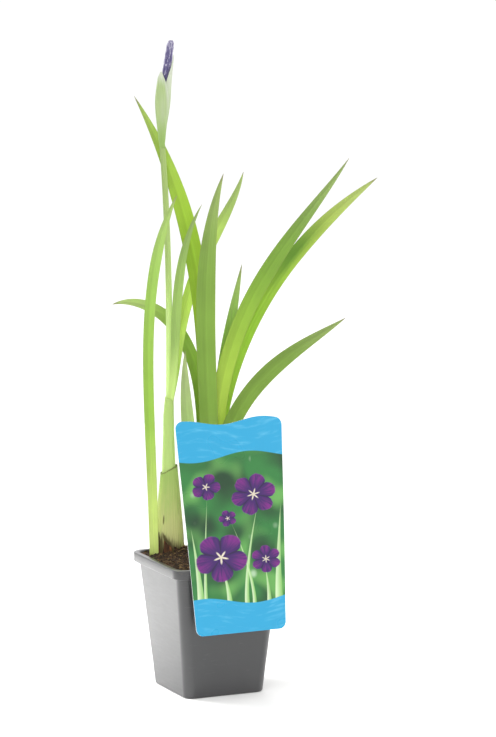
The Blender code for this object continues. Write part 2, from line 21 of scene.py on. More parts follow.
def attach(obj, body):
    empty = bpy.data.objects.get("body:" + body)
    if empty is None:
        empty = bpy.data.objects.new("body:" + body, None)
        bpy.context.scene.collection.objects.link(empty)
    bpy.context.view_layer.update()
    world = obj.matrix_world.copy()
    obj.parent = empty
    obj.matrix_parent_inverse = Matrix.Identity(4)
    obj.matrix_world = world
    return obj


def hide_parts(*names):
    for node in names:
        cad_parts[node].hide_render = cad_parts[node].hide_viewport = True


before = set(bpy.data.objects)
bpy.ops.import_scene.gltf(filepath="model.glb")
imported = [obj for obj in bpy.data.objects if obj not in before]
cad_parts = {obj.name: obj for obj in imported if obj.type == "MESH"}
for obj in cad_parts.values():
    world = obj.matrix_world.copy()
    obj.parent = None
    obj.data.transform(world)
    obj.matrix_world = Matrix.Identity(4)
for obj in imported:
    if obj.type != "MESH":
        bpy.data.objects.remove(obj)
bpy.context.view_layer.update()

LOG = logging.getLogger("iris")
MM = 0.001
WELD = 1e-6
QUARTER = math.pi / 2
QUARTERS = [Matrix.Rotation(QUARTER * number, 3, "Z") for number in range(4)]
CORNERS = ((-1, -1), (1, -1), (1, 1), (-1, 1))
Colour = tuple[int, int, int]
Spot = tuple[float, float, float]


class Slot(Enum):
    """The record's material slots."""

    POT = "pot_plastic"
    PEAT = "peat"
    CARD = "card"
    LEAF = "leaf_green"
    SHEATH = "sheath_pale"
    STEM = "stem_green"
    BUD = "bud_purple"
    BRACT = "bract_green"


class Kind(Enum):
    """The kinds of input that a geometry tree takes."""

    SIZE = "NodeSocketFloat"
    COUNT = "NodeSocketInt"
    FINISH = "NodeSocketMaterial"


def linear(colour: Colour) -> tuple[float, ...]:
    """Turn a colour from 0 to 255, as the eye sees it, into linear light with full cover."""
    levels = [level / 255 for level in colour]
    return *[level / 12.92 if level <= 0.04045 else ((level + 0.055) / 1.055) ** 2.4
             for level in levels], 1.0


def mix(start: float, end: float, share: float) -> float:
    """Return the value that lies this share of the way from start to end."""
    return start + (end - start) * share


def clamp(value: float, low: float = 0.0, high: float = 1.0) -> float:
    """Return the value, kept between low and high."""
    return max(low, min(high, value))


def ease(value: float, low: float, high: float) -> float:
    """Return a soft step from 0 at low to 1 at high."""
    share = clamp((value - low) / (high - low))
    return share * share * (3 - 2 * share)


def shares(steps: int, first: int = 0) -> list[float]:
    """Return how far along each step is, up to 1."""
    return [step / steps for step in range(first, steps + 1)]


def turns(count: int, shift: float = 0.0) -> list[float]:
    """Return evenly spaced angles round a full turn."""
    return [math.tau * (step + shift) / count for step in range(count)]


def sideways(steps: int) -> list[float]:
    """Return evenly spaced places from -1 to 1."""
    return [2 * step / steps - 1 for step in range(steps + 1)]


def toward(angle: float) -> Vector:
    """Return the level direction at an angle in radians."""
    return Vector((math.cos(angle), math.sin(angle), 0.0))


def upward(rise: float) -> Vector:
    """Return the way straight up, this long."""
    return Vector((0.0, 0.0, rise))


class Wire:
    """A value that flows through a node tree and is reckoned with like a number."""

    def __init__(self, graph: Graph, socket: bpy.types.NodeSocket) -> None:
        """Hold an output socket of a node in a graph."""
        self.graph = graph
        self.socket = socket

    def reckon(self, operation: str, *others: Value) -> Wire:
        """Return what a number node makes of this value and others."""
        return self.graph.math(operation, self, *others)

    __add__ = __radd__ = partialmethod(reckon, "ADD")
    __mul__ = __rmul__ = partialmethod(reckon, "MULTIPLY")
    __sub__ = partialmethod(reckon, "SUBTRACT")
    __truediv__ = partialmethod(reckon, "DIVIDE")
    __pow__ = partialmethod(reckon, "POWER")
    sine = partialmethod(reckon, "SINE")
    cosine = partialmethod(reckon, "COSINE")
    size = partialmethod(reckon, "ABSOLUTE")
    at_least = partialmethod(reckon, "MAXIMUM")
    at_most = partialmethod(reckon, "MINIMUM")

    def __rsub__(self, other: Value) -> Wire:
        """Take this value from a plain one."""
        return self.graph.math("SUBTRACT", other, self)

    def step(self, low: float, high: float, start: float = 0.0, end: float = 1.0) -> Wire:
        """Return a soft turn from start, where this value is low, to end, where it is high."""
        feeds = {"Value": self, "From Min": low, "From Max": high, "To Min": start, "To Max": end}
        return self.graph.wire("ShaderNodeMapRange", feeds, interpolation_type="SMOOTHSTEP")

    def fall(self, low: float, high: float) -> Wire:
        """Return a soft fall from 1, where this value is low, to 0, where it is high."""
        return self.step(low, high, 1.0, 0.0)

    def tint(self, share: Value, colour: Value) -> Wire:
        """Return this colour with a share of another."""
        return self.graph.blend(share, self, colour)

    def level(self, level: Value) -> Wire:
        """Return this colour, made darker or lighter by a level."""
        grey = self.graph.combine(level, level, level)
        return self.graph.blend(1.0, self, grey, "MULTIPLY")


Value = Union[Wire, float, int, tuple]
Shades = tuple[Wire, Wire, Wire]


class Graph:
    """A node tree that is filled in by short calls."""

    def __init__(self, tree: bpy.types.NodeTree) -> None:
        """Take hold of the tree."""
        self.tree = tree

    def feed(self, socket: bpy.types.NodeSocket, value: Value) -> None:
        """Link a wire to an input socket, or set the socket's own value.

        Args:
            socket: The input.
            value: A wire, three values with a wire among them, a colour or a plain value. One number
                fills all three places of a vector.
        """
        if isinstance(value, tuple) and any(isinstance(part, Wire) for part in value):
            value = self.combine(*value)
        if isinstance(value, Wire):
            self.tree.links.new(value.socket, socket)
        elif socket.type == "RGBA":
            socket.default_value = linear(value)
        elif socket.type == "VECTOR" and isinstance(value, (int, float)):
            socket.default_value = (value, value, value)
        else:
            socket.default_value = value

    def add(self, kind: str, feeds: dict[Any, Value] | None = None, **settings: Any) -> bpy.types.Node:
        """Add a node.

        Args:
            kind: Blender's name for the node.
            feeds: Its inputs, by name or place, and what goes in.
            settings: The node's own options.

        Returns:
            The node.
        """
        made = self.tree.nodes.new(kind)
        for name, value in settings.items():
            setattr(made, name, value)
        for key, value in (feeds or {}).items():
            self.feed(made.inputs[key], value)
        return made

    def wire(self, kind: str, feeds: dict[Any, Value] | None = None, out: Any = 0, **settings: Any) -> Wire:
        """Add a node and return the output that has this name or place."""
        return Wire(self, self.add(kind, feeds, **settings).outputs[out])

    def math(self, operation: str, *values: Value) -> Wire:
        """Add a number node, or a vector node where a value is a vector."""
        vector = any(value.socket.type == "VECTOR" if isinstance(value, Wire) else isinstance(value, tuple)
                     for value in values)
        return self.wire("ShaderNodeVectorMath" if vector else "ShaderNodeMath", dict(enumerate(values)),
                         operation=operation)

    def combine(self, x: Value, y: Value, z: Value) -> Wire:
        """Put three numbers together as a vector."""
        return self.wire("ShaderNodeCombineXYZ", {0: x, 1: y, 2: z})

    def split(self, vector: Wire) -> list[Wire]:
        """Take a vector apart into its three numbers."""
        return [Wire(self, part) for part in self.add("ShaderNodeSeparateXYZ", {0: vector}).outputs]

    def blend(self, share: Value, first: Value, second: Value, way: str = "MIX") -> Wire:
        """Mix two colours: the first at a share of 0, the second at 1."""
        feeds = {0: share, 6: first, 7: second}
        return self.wire("ShaderNodeMix", feeds, out=2, data_type="RGBA", blend_type=way)

    def cloud(self, place: Value, scale: float, detail: float = 3.0, rough: float = 0.5) -> Wire:
        """Return a soft noise, 0 to 1, read at a place, with finer layers of this number and strength."""
        feeds = {"Vector": place, "Scale": scale, "Detail": detail, "Roughness": rough}
        return self.wire("ShaderNodeTexNoise", feeds)

    def around(self, turn: Wire, reach: float, along: Value) -> Wire:
        """Return a place on a circle, where a noise meets itself after one turn."""
        return self.combine(turn.cosine() * reach, turn.sine() * reach, along)

    def marks(self, *names: str) -> list[Wire]:
        """Return numbers that the mesh carries at each point."""
        return [self.wire("ShaderNodeAttribute", out="Fac", attribute_name=name) for name in names]

    def place(self) -> Wire:
        """Return where a point of the piece is, in metres."""
        return self.wire("ShaderNodeTexCoord", out="Object")


@dataclass(frozen=True)
class Finish:
    """What every finish shares: its name and the gloss of its surface."""

    name: str
    roughness: float
    specular: float
    coat: float = 0.0
    coat_roughness: float = 0.2
    bump_height: float = 0.1
    wear_share: float = 0.2

    def shade(self, graph: Graph) -> Shades:
        """Return the colour, the height of the relief and the change of roughness."""
        raise NotImplementedError

    def light_through(self, graph: Graph, shader: bpy.types.Node, colour: Wire) -> None:
        """Let light through, where a finish does so."""

    @cached_property
    def material(self) -> bpy.types.Material:
        """Make the finish's material, once.

        Returns:
            The material.
        """
        made = bpy.data.materials.new(self.name)
        made.use_nodes = True
        graph = Graph(made.node_tree)
        shader = made.node_tree.nodes["Principled BSDF"]
        colour, height, wear = self.shade(graph)
        feeds = {
            "Base Color": colour,
            "Roughness": wear * self.wear_share + (self.roughness - self.wear_share / 2),
            "Normal": graph.wire("ShaderNodeBump", {"Height": height, "Distance": self.bump_height * MM,
                                                    "Strength": 1.0}),
            "Specular IOR Level": self.specular,
            "Coat Weight": self.coat,
            "Coat Roughness": self.coat_roughness,
        }
        for name, value in feeds.items():
            graph.feed(shader.inputs[name], value)
        self.light_through(graph, shader, colour)
        return made


@dataclass(frozen=True)
class GreenFinish(Finish):
    """A finish of living tissue: light that falls on its back glows through it."""

    glow: float = 0.3
    glow_colour: Colour = (190, 225, 70)

    def light_through(self, graph: Graph, shader: bpy.types.Node, colour: Wire) -> None:
        """Mix in the glow.

        Args:
            graph: The material's tree.
            shader: Its main shader.
            colour: The colour of the surface.
        """
        through = graph.wire("ShaderNodeBsdfTranslucent", {"Color": colour.tint(0.5, self.glow_colour)})
        surface = Wire(graph, shader.outputs[0])
        both = graph.wire("ShaderNodeMixShader", {0: self.glow, 1: surface, 2: through})
        graph.feed(graph.tree.nodes["Material Output"].inputs["Surface"], both)


@dataclass(frozen=True)
class LeafFinish(GreenFinish):
    """A sword leaf: pale at its foot, green above, with fine parallel veins and a dry tip."""

    roughness: float = 0.42
    specular: float = 0.4
    bump_height: float = 0.08
    foot: Colour = (206, 216, 132)
    blade: Colour = (146, 192, 62)
    upper: Colour = (158, 200, 78)
    faded: Colour = (176, 188, 128)
    tip: Colour = (146, 134, 108)
    rim: Colour = (150, 142, 92)
    shadow: Colour = (88, 136, 36)
    greening: float = 0.32
    fade_from: float = 0.74
    fade_share: float = 0.6
    dry_share: float = 0.965
    # how far the painted fold shade darkens one half of the blade and lightens the other
    painted_fold_shade: float = 0.07
    shaded_at: float = 0.0
    shaded: float = 0.0
    veins: float = 15.0
    seed: float = 0.0

    def shade(self, graph: Graph) -> Shades:
        """Build the leaf's colour, veins and wear.

        Args:
            graph: The material's tree.

        Returns:
            The colour, the height of the relief and the change of roughness.
        """
        share, side = graph.marks("share", "side")
        streaks = graph.cloud((side * 7.0, share * 2.5, self.seed), 1.0, 3.0, 0.6)
        uneven = streaks - 0.5
        patches = graph.cloud(graph.place() + (self.seed, 0.0, 0.0), 45.0, 2.0)
        fibres = graph.cloud((side * 34.0, share * 9.0, self.seed + 5.0), 1.0, 1.0)
        vein = (side * (self.veins * math.pi)).sine()
        rim = side.size().step(0.9, 1.0)
        colour = graph.blend((share + uneven * 0.12).step(0.03, self.greening), self.foot, self.blade)
        colour = colour.tint(share.step(0.45, 0.95), self.upper)
        fading = (share + uneven * 0.2).step(self.fade_from, 1.05)
        colour = colour.tint(fading * self.fade_share, self.faded)
        lightened = colour.level(1.3)
        colour = colour.tint(streaks.step(0.42, 0.75) * 0.5, lightened)
        colour = colour.tint(side.size().fall(0.0, 0.16) * 0.25, lightened)
        colour = colour.tint(rim * 0.4, self.rim)
        beside = (share - self.shaded_at).size()
        shadow = beside.step(0.0, 0.14, self.shaded, 0.0) * side.fall(-0.1, 0.9)
        level = 0.86 + patches * 0.28 + vein * 0.035 + (fibres - 0.5) * 0.14
        # painted shade: one half of the blade beside the midrib is darker and the other lighter, as the
        # folded leaf takes the light
        level = level + side.step(-0.08, 0.08, -self.painted_fold_shade, self.painted_fold_shade)
        colour = colour.tint(shadow, self.shadow).level(level)
        dry = (share + uneven * 0.02 + rim * 0.012).step(self.dry_share, 1.0)
        return colour.tint(dry * 0.85, self.tip), vein * 0.25 + fibres, patches + dry


@dataclass(frozen=True)
class SheathFinish(GreenFinish):
    """A pale sheath with green and cream streaks, a dark mouth, a stained foot, dark splits and painted
    shade on one side.
    """

    roughness: float = 0.45
    specular: float = 0.4
    bump_height: float = 0.08
    cream: Colour = (220, 220, 148)
    green: Colour = (172, 202, 108)
    streak: Colour = (156, 170, 84)
    stain: Colour = (70, 46, 22)
    margin: float = 0.0
    foot_stain: float = 9.0
    # the side where the foot stain reaches highest and the painted shade falls
    stain_and_shade_side: float = 3.9
    splits: tuple[tuple[float, ...], ...] = ()
    seed: float = 0.0

    def shade(self, graph: Graph) -> Shades:
        """Build the sheath's streaks, margin and stain.

        Args:
            graph: The material's tree.

        Returns:
            The colour, the height of the relief and the change of roughness.
        """
        turn, rise, below_mouth = graph.marks("turn", "rise", "below_mouth")
        streaks = graph.cloud(graph.around(turn, 3.0, rise * 0.035 + self.seed), 1.6, 4.0, 0.65)
        fine = graph.cloud((turn * 14.0, rise * 0.05, self.seed), 1.0, 2.0)
        ribs = (turn * 42.0).sine()
        turned = (turn - self.stain_and_shade_side).cosine()
        colour = graph.blend((rise + (streaks - 0.5) * 50.0).step(5.0, 75.0), self.cream, self.green)
        colour = colour.tint(streaks.step(0.52, 0.72) * 0.55, self.green)
        colour = colour.tint(fine.step(0.62, 0.8) * 0.35, self.streak)
        stained = rise - turned * 6.0 - (fine - 0.4) * 24.0 - (streaks - 0.5) * 12.0
        stained = stained.fall(0.0, self.foot_stain)
        for angle, height, slant, half_turn, half_height in self.splits:
            aside = (turn - angle + (rise - height) * slant) / half_turn + (fine - 0.5) * 1.2
            above = (rise - height) / half_height
            stained = stained.at_least((aside * aside + above * above).fall(0.2, 1.0))
        lip = (below_mouth + (fine - 0.5) * 0.6).fall(0.3, 1.3)
        colour = colour.tint(stained * 0.92, self.stain).tint(lip * self.margin, self.stain)
        # painted shade: the wall is a little darker on the side that turned faces
        colour = colour.level(0.9 + ribs * 0.04 + streaks * 0.16 - turned * 0.06)
        return colour, ribs * 0.3 + fine, streaks + stained


@dataclass(frozen=True)
class StemFinish(GreenFinish):
    """The flower stem: smooth, faintly lined and paler where the light catches it."""

    roughness: float = 0.42
    specular: float = 0.4
    bump_height: float = 0.05
    lower: Colour = (224, 246, 166)
    upper: Colour = (154, 174, 107)
    bloom: Colour = (208, 226, 168)
    pale_side: float = -0.7

    def shade(self, graph: Graph) -> Shades:
        """Build the stem's colour and lines.

        Args:
            graph: The material's tree.

        Returns:
            The colour, the height of the relief and the change of roughness.
        """
        share, turn = graph.marks("share", "turn")
        lines = graph.cloud(graph.around(turn, 4.0, share * 3.0), 1.5, 3.0, 0.6)
        waxy = graph.cloud(graph.place(), 60.0, 3.0)
        colour = graph.blend(share.step(0.3, 0.95), self.lower, self.upper)
        colour = colour.tint(lines.step(0.5, 0.75) * 0.6, self.bloom)
        turned = (turn - self.pale_side).cosine()
        return colour.level(0.95 + waxy * 0.2 + turned * 0.18), lines, waxy


@dataclass(frozen=True)
class BractFinish(GreenFinish):
    """A bract of the bud: sage green, finely lined, drying to a pale film at its rim and point, with a
    painted highlight.
    """

    roughness: float = 0.5
    specular: float = 0.35
    bump_height: float = 0.06
    body: Colour = (182, 202, 144)
    foot: Colour = (156, 188, 104)
    # the pale colour of the dry film, also used for the painted highlight
    film_and_highlight: Colour = (232, 232, 228)
    film_from: float = 0.8
    gleam_at: float = -0.6
    seed: float = 0.0

    def shade(self, graph: Graph) -> Shades:
        """Build the bract's colour, lines, dry film and painted highlight.

        Args:
            graph: The material's tree.

        Returns:
            The colour, the height of the relief and the change of roughness.
        """
        share, side = graph.marks("share", "side")
        lines = graph.cloud((side * 16.0, share * 2.0, self.seed), 1.0, 3.0, 0.6)
        ribs = (side * 60.0).sine()
        colour = graph.blend(share.step(0.0, 0.5), self.foot, self.body)
        colour = colour.tint(lines.step(0.5, 0.75) * 0.5, colour.level(1.3))
        # painted highlight: a pale patch across the bract at gleam_at, near its middle height
        gleam = (side - self.gleam_at).size().fall(0.0, 0.3) * (share - 0.5).size().fall(0.05, 0.3)
        edge = side.size().step(0.72, 1.0) * share.step(0.2, 0.8) * 0.8
        point = (share + (lines - 0.5) * 0.2).step(self.film_from, 1.0)
        colour = colour.tint(gleam * 0.16, self.film_and_highlight).tint(edge.at_least(point) * 0.85, self.film_and_highlight)
        return colour.level(0.92 + ribs * 0.03 + lines * 0.12), ribs * 0.3 + lines, lines


@dataclass(frozen=True)
class PetalFinish(GreenFinish):
    """The furled flower: dusky violet, with painted lavender highlights along the rolled edges, on the
    crinkles and at the tip.
    """

    roughness: float = 0.55
    specular: float = 0.3
    bump_height: float = 0.15
    glow: float = 0.15
    glow_colour: Colour = (150, 120, 210)
    deep: Colour = (64, 58, 100)
    middle: Colour = (114, 108, 148)
    # the pale lavender of the painted highlights
    edge: Colour = (212, 208, 226)
    base: Colour = (176, 190, 150)

    def shade(self, graph: Graph) -> Shades:
        """Build the petals' colour, painted highlights and crinkles.

        Args:
            graph: The material's tree.

        Returns:
            The colour, the height of the relief and the change of roughness.
        """
        share, fold = graph.marks("share", "fold")
        crinkle = graph.cloud(graph.place() * (1.0, 1.0, 0.35), 900.0, 4.0, 0.6)
        veins = graph.cloud((fold * 12.0, share * 9.0, 0.0), 1.0, 3.0, 0.6)
        # painted highlights: pale lavender along the rolled edges, on the tops of the crinkles and at the
        # tip
        pale = fold.step(0.72, 1.0) * crinkle.step(0.35, 0.62)
        painted_tip_highlight = share.step(0.86, 1.0) * crinkle.step(0.36, 0.6)
        colour = graph.blend(veins.step(0.3, 0.7), self.deep, self.middle)
        colour = colour.tint(pale.at_least(crinkle.step(0.52, 0.66) * 0.8), self.edge)
        colour = colour.tint(painted_tip_highlight * 0.7, self.edge)
        return graph.blend(share.step(0.25, 0.5), self.base, colour), crinkle, crinkle


@dataclass(frozen=True)
class PeatFinish(Finish):
    """Damp peat: dark brown with redder and paler specks."""

    roughness: float = 0.9
    specular: float = 0.25
    bump_height: float = 0.5
    dark: Colour = (30, 24, 17)
    brown: Colour = (62, 46, 30)
    red: Colour = (94, 62, 40)
    pale: Colour = (150, 130, 94)
    pale_share: float = 0.72

    def shade(self, graph: Graph) -> Shades:
        """Build the peat's specks and grain.

        Args:
            graph: The material's tree.

        Returns:
            The colour, the height of the relief and the change of roughness.
        """
        place = graph.place()
        lumps = graph.cloud(place, 260.0, 4.0, 0.65)
        grain = graph.cloud(place, 1500.0, 4.0, 0.7)
        specks = graph.cloud(place + (3.0, 1.0, 2.0), 520.0, 2.0)
        colour = graph.blend(lumps.step(0.36, 0.62), self.dark, self.brown)
        colour = colour.tint(specks.step(0.58, 0.7) * 0.8, self.red)
        colour = colour.tint(grain.step(self.pale_share, self.pale_share + 0.08), self.pale)
        return colour, grain + lumps, grain


@dataclass(frozen=True)
class FibreFinish(Finish):
    """Dry plant matter: straw, bark chips and torn scales, streaked from pale to dark."""

    roughness: float = 0.8
    specular: float = 0.3
    bump_height: float = 0.2
    pale: Colour = (130, 104, 66)
    dark: Colour = (68, 47, 28)
    stretch: Spot = (1.0, 1.0, 1.0)

    def shade(self, graph: Graph) -> Shades:
        """Build the streaks.

        Args:
            graph: The material's tree.

        Returns:
            The colour, the height of the relief and the change of roughness.
        """
        place = graph.place() * self.stretch
        patches = graph.cloud(place, 320.0, 3.0, 0.6)
        grain = graph.cloud(place, 1800.0, 3.0, 0.6)
        colour = graph.blend(patches.step(0.35, 0.65), self.dark, self.pale)
        return colour.level(0.8 + grain * 0.4), grain, grain


@dataclass(frozen=True)
class PlasticFinish(Finish):
    """Thin black plastic, formed over a mould: faint flow marks, scuffs and dust of peat."""

    roughness: float = 0.36
    specular: float = 0.7
    coat: float = 0.5
    coat_roughness: float = 0.3
    bump_height: float = 0.06
    body: Colour = (42, 42, 44)
    scuffed: Colour = (84, 84, 84)
    dust: Colour = (96, 80, 64)
    dust_from: float = 80.0
    dust_to: float = 101.0

    def shade(self, graph: Graph) -> Shades:
        """Build the plastic's marks, dust and fine grain.

        Args:
            graph: The material's tree.

        Returns:
            The colour, the height of the relief and the change of roughness.
        """
        place = graph.place()
        flow = graph.cloud(place * (1.0, 1.0, 0.25), 55.0, 3.0)
        scuffs = graph.cloud(place * (0.3, 0.3, 2.6), 240.0, 4.0, 0.7)
        grain = graph.cloud(place, 2200.0, 2.0)
        specks = graph.cloud(place, 700.0, 4.0, 0.7)
        near_rim = graph.split(place)[2].step(self.dust_from * MM, self.dust_to * MM)
        colour = graph.blend(scuffs.step(0.6, 0.78) * 0.5, self.body, self.scuffed).level(0.86 + flow * 0.28)
        colour = colour.tint(near_rim * specks.step(0.56, 0.72) * 0.7, self.dust)
        return colour, grain * 0.5 + flow * 1.5, scuffs + flow * 0.4


class Skin:
    """A closed surface put together from loops of points, in millimetres."""

    def __init__(self) -> None:
        """Start with nothing."""
        self.points: list[Vector] = []
        self.faces: list[list[int]] = []
        self.finishes: list[int] = []
        self.marks: dict[str, list[float]] = {}

    def loop(self, points: Sequence[Vector], **marks: float | Sequence[float]) -> list[int]:
        """Add a loop of points.

        Args:
            points: The points, in order.
            marks: Numbers that the points carry, one for all or one each.

        Returns:
            The points' places in the mesh.
        """
        first = len(self.points)
        self.points.extend(points)
        for name, value in marks.items():
            held = self.marks.setdefault(name, [0.0] * first)
            held.extend([value] * len(points) if isinstance(value, (int, float)) else value)
        return list(range(first, len(self.points)))

    def face(self, corners: Sequence[int], finish: int = 0) -> None:
        """Add a face, leaving out corners that are the same.

        Args:
            corners: The places of its points.
            finish: The place of its finish.
        """
        unique = list(dict.fromkeys(corners))
        if len(unique) > 2:
            self.faces.append(unique)
            self.finishes.append(finish)

    def join(self, lower: Sequence[int], upper: Sequence[int], finish: int = 0, ring: bool = True) -> None:
        """Join two loops with faces; a loop of one point makes a pole.

        Args:
            lower: One loop.
            upper: The next.
            finish: The place of the faces' finish.
            ring: Whether the loops close on themselves.
        """
        count = max(len(lower), len(upper))
        for index in range(count if ring else count - 1):
            after = (index + 1) % count
            self.face([lower[index % len(lower)], lower[after % len(lower)],
                       upper[after % len(upper)], upper[index % len(upper)]], finish)

    def chain(self, loops: Sequence[Sequence[int]], finish: int = 0, ring: bool = True) -> None:
        """Join each loop to the next."""
        for lower, upper in zip(loops, loops[1:]):
            self.join(lower, upper, finish, ring)

    def tube(self, loops: Sequence[Sequence[int]], finish: int = 0) -> None:
        """Join each loop to the next, and close both ends.

        Args:
            loops: The loops, in order.
            finish: The place of the faces' finish.
        """
        self.chain(loops, finish)
        self.face(loops[0][::-1], finish)
        self.face(loops[-1], finish)

    def mesh(self, name: str, *finishes: Finish) -> bpy.types.Mesh:
        """Make the mesh, in metres, shaded smooth, with its faces pointing out.

        Args:
            name: The mesh's name.
            finishes: Its finishes, in the order of their places.

        Returns:
            The mesh.
        """
        mesh = bpy.data.meshes.new(name)
        mesh.from_pydata([point * MM for point in self.points], [], self.faces)
        for mark, values in self.marks.items():
            unmarked = [0.0] * (len(self.points) - len(values))
            mesh.attributes.new(mark, "FLOAT", "POINT").data.foreach_set("value", values + unmarked)
        mesh.polygons.foreach_set("material_index", self.finishes)
        mesh.shade_smooth()
        edit = bmesh.new()
        edit.from_mesh(mesh)
        bmesh.ops.recalc_face_normals(edit, faces=edit.faces)
        edit.to_mesh(mesh)
        edit.free()
        for finish in finishes:
            mesh.materials.append(finish.material)
        return mesh

    def solid(self, name: str, *finishes: Finish) -> bpy.types.Object:
        """Make the mesh and the object that shows it."""
        return show(name, self.mesh(name, *finishes))


def show(name: str, data: bpy.types.ID) -> bpy.types.Object:
    """Link a new object with this data to the scene.

    Args:
        name: The object's name.
        data: Its mesh, lamp or camera.

    Returns:
        The object.
    """
    made = bpy.data.objects.new(name, data)
    bpy.context.scene.collection.objects.link(made)
    return made


def settle(piece: bpy.types.Object) -> bpy.types.Object:
    """Turn a piece's modifiers into its own mesh.

    Args:
        piece: The object.

    Returns:
        The same object, without modifiers.
    """
    bpy.context.view_layer.update()
    shaped = piece.evaluated_get(bpy.context.evaluated_depsgraph_get())
    mesh = bpy.data.meshes.new_from_object(shaped)
    piece.modifiers.clear()
    piece.data = mesh
    mesh.name = piece.name
    return piece


class Piece:
    """What every sub-assembly shares: its material slot, its node and how it goes into the frame."""

    slot: Slot
    node: str

    def build(self) -> list[bpy.types.Object]:
        """Return the objects; the first stands for the node."""
        raise NotImplementedError

    def dress(self, made: Sequence[bpy.types.Object]) -> None:
        """Put built objects in the frame, the first of them in place of the node's solid.

        Args:
            made: The finished objects.
        """
        for number, piece in enumerate(made):
            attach(piece, "root")
            if self.node and number == 0:
                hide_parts(self.node)
            LOG.info("%s: %d faces", piece.name, len(piece.data.polygons))


class GrowthTree(Graph):
    """A geometry tree with named inputs, which ends in a plain mesh with its finish."""

    def __init__(self, name: str) -> None:
        """Start the tree with its way in and out.

        Args:
            name: The tree's name.
        """
        super().__init__(bpy.data.node_groups.new(name, "GeometryNodeTree"))
        for way in ("INPUT", "OUTPUT"):
            self.tree.interface.new_socket("Geometry", in_out=way, socket_type="NodeSocketGeometry")
        self.entry = self.tree.nodes.new("NodeGroupInput")
        self.base = Wire(self, self.entry.outputs["Geometry"])

    def take(self, *names: str, kind: Kind = Kind.SIZE) -> list[Wire]:
        """Add named inputs.

        Args:
            names: Their names.
            kind: What they take.

        Returns:
            The inputs.
        """
        for name in names:
            self.tree.interface.new_socket(name, in_out="INPUT", socket_type=kind.value)
        return [Wire(self, self.entry.outputs[name]) for name in names]

    def grow(self, kind: str, **parts: Any) -> Wire:
        """Add a geometry node and return its first output.

        Args:
            kind: Blender's name for the node, without its beginning.
            parts: Its inputs, which start with a capital and have a low line for each space, and its
                own options.

        Returns:
            The output.
        """
        feeds = {name.replace("_", " "): value for name, value in parts.items() if name[0].isupper()}
        settings = {name: value for name, value in parts.items() if name[0].islower()}
        return self.wire(f"GeometryNode{kind}", feeds, **settings)

    def held(self, name: str, kind: str = "FLOAT") -> Wire:
        """Return a value that the points carry."""
        return self.grow("InputNamedAttribute", Name=name, data_type=kind)

    def store(self, geometry: Wire, name: str, value: Value) -> Wire:
        """Keep a number on each point, under a name that a material reads."""
        return self.grow("StoreNamedAttribute", Geometry=geometry, Name=name, Value=value, data_type="FLOAT",
                         domain="POINT")

    def random(self, low: Value, high: Value, seed: Value) -> Wire:
        """Return a random number for each point."""
        feeds = {2: low, 3: high, "Seed": seed}
        return self.wire("FunctionNodeRandomValue", feeds, out=1, data_type="FLOAT")

    def end(self, geometry: Wire, smooth: bool = True) -> bpy.types.NodeTree:
        """Finish the tree: make instances real, shade them and give them their finish.

        Args:
            geometry: What the tree has made.
            smooth: Whether it is shaded smooth.

        Returns:
            The tree.
        """
        real = self.grow("RealizeInstances", Geometry=geometry)
        shaded = self.grow("SetShadeSmooth", Geometry=real, Shade_Smooth=smooth)
        finish = self.take("Finish", kind=Kind.FINISH)[0]
        self.add("NodeGroupOutput", {0: self.grow("SetMaterial", Geometry=shaded, Material=finish)})
        return self.tree


def run_tree(name: str, tree: bpy.types.NodeTree, host: bpy.types.Mesh, finish: Finish,
             values: dict[str, float]) -> bpy.types.Object:
    """Run a geometry tree and keep the result as a plain mesh.

    Args:
        name: The new object's name.
        tree: The geometry tree.
        host: The mesh that it starts from.
        finish: The finish that it gives.
        values: The tree's inputs, by name.

    Returns:
        The object.
    """
    piece = show(name, host)
    modifier = piece.modifiers.new(name, "NODES")
    modifier.node_group = tree
    values = {**values, "Finish": finish.material}
    for item in tree.interface.items_tree:
        if item.in_out == "INPUT" and item.name in values:
            modifier[item.identifier] = values[item.name]
    return settle(piece)


@dataclass(frozen=True)
class Fan:
    """One shoot: the spot where it leaves the peat, and the bearing of its flat side."""

    foot: tuple[float, float]
    bearing: float
    height: float = 100.0

    @property
    def across(self) -> Vector:
        """The level direction in which the fan spreads."""
        return toward(math.radians(self.bearing))

    @property
    def through(self) -> Vector:
        """The level direction in which its leaves are stacked, away from the front."""
        return upward(1.0).cross(self.across)

    def point(self, aside: float, behind: float, rise: float) -> Vector:
        """Return a point of the fan, measured from its foot."""
        return Vector((*self.foot, self.height + rise)) + self.across * aside + self.through * behind


FLOWERING_FAN = Fan(foot=(-21.0, 25.0), bearing=-22.0)
LEAFY_FAN = Fan(foot=(12.0, 12.0), bearing=-12.0)
YOUNG_SHOOT = Fan(foot=(-4.0, 10.0), bearing=-20.0)


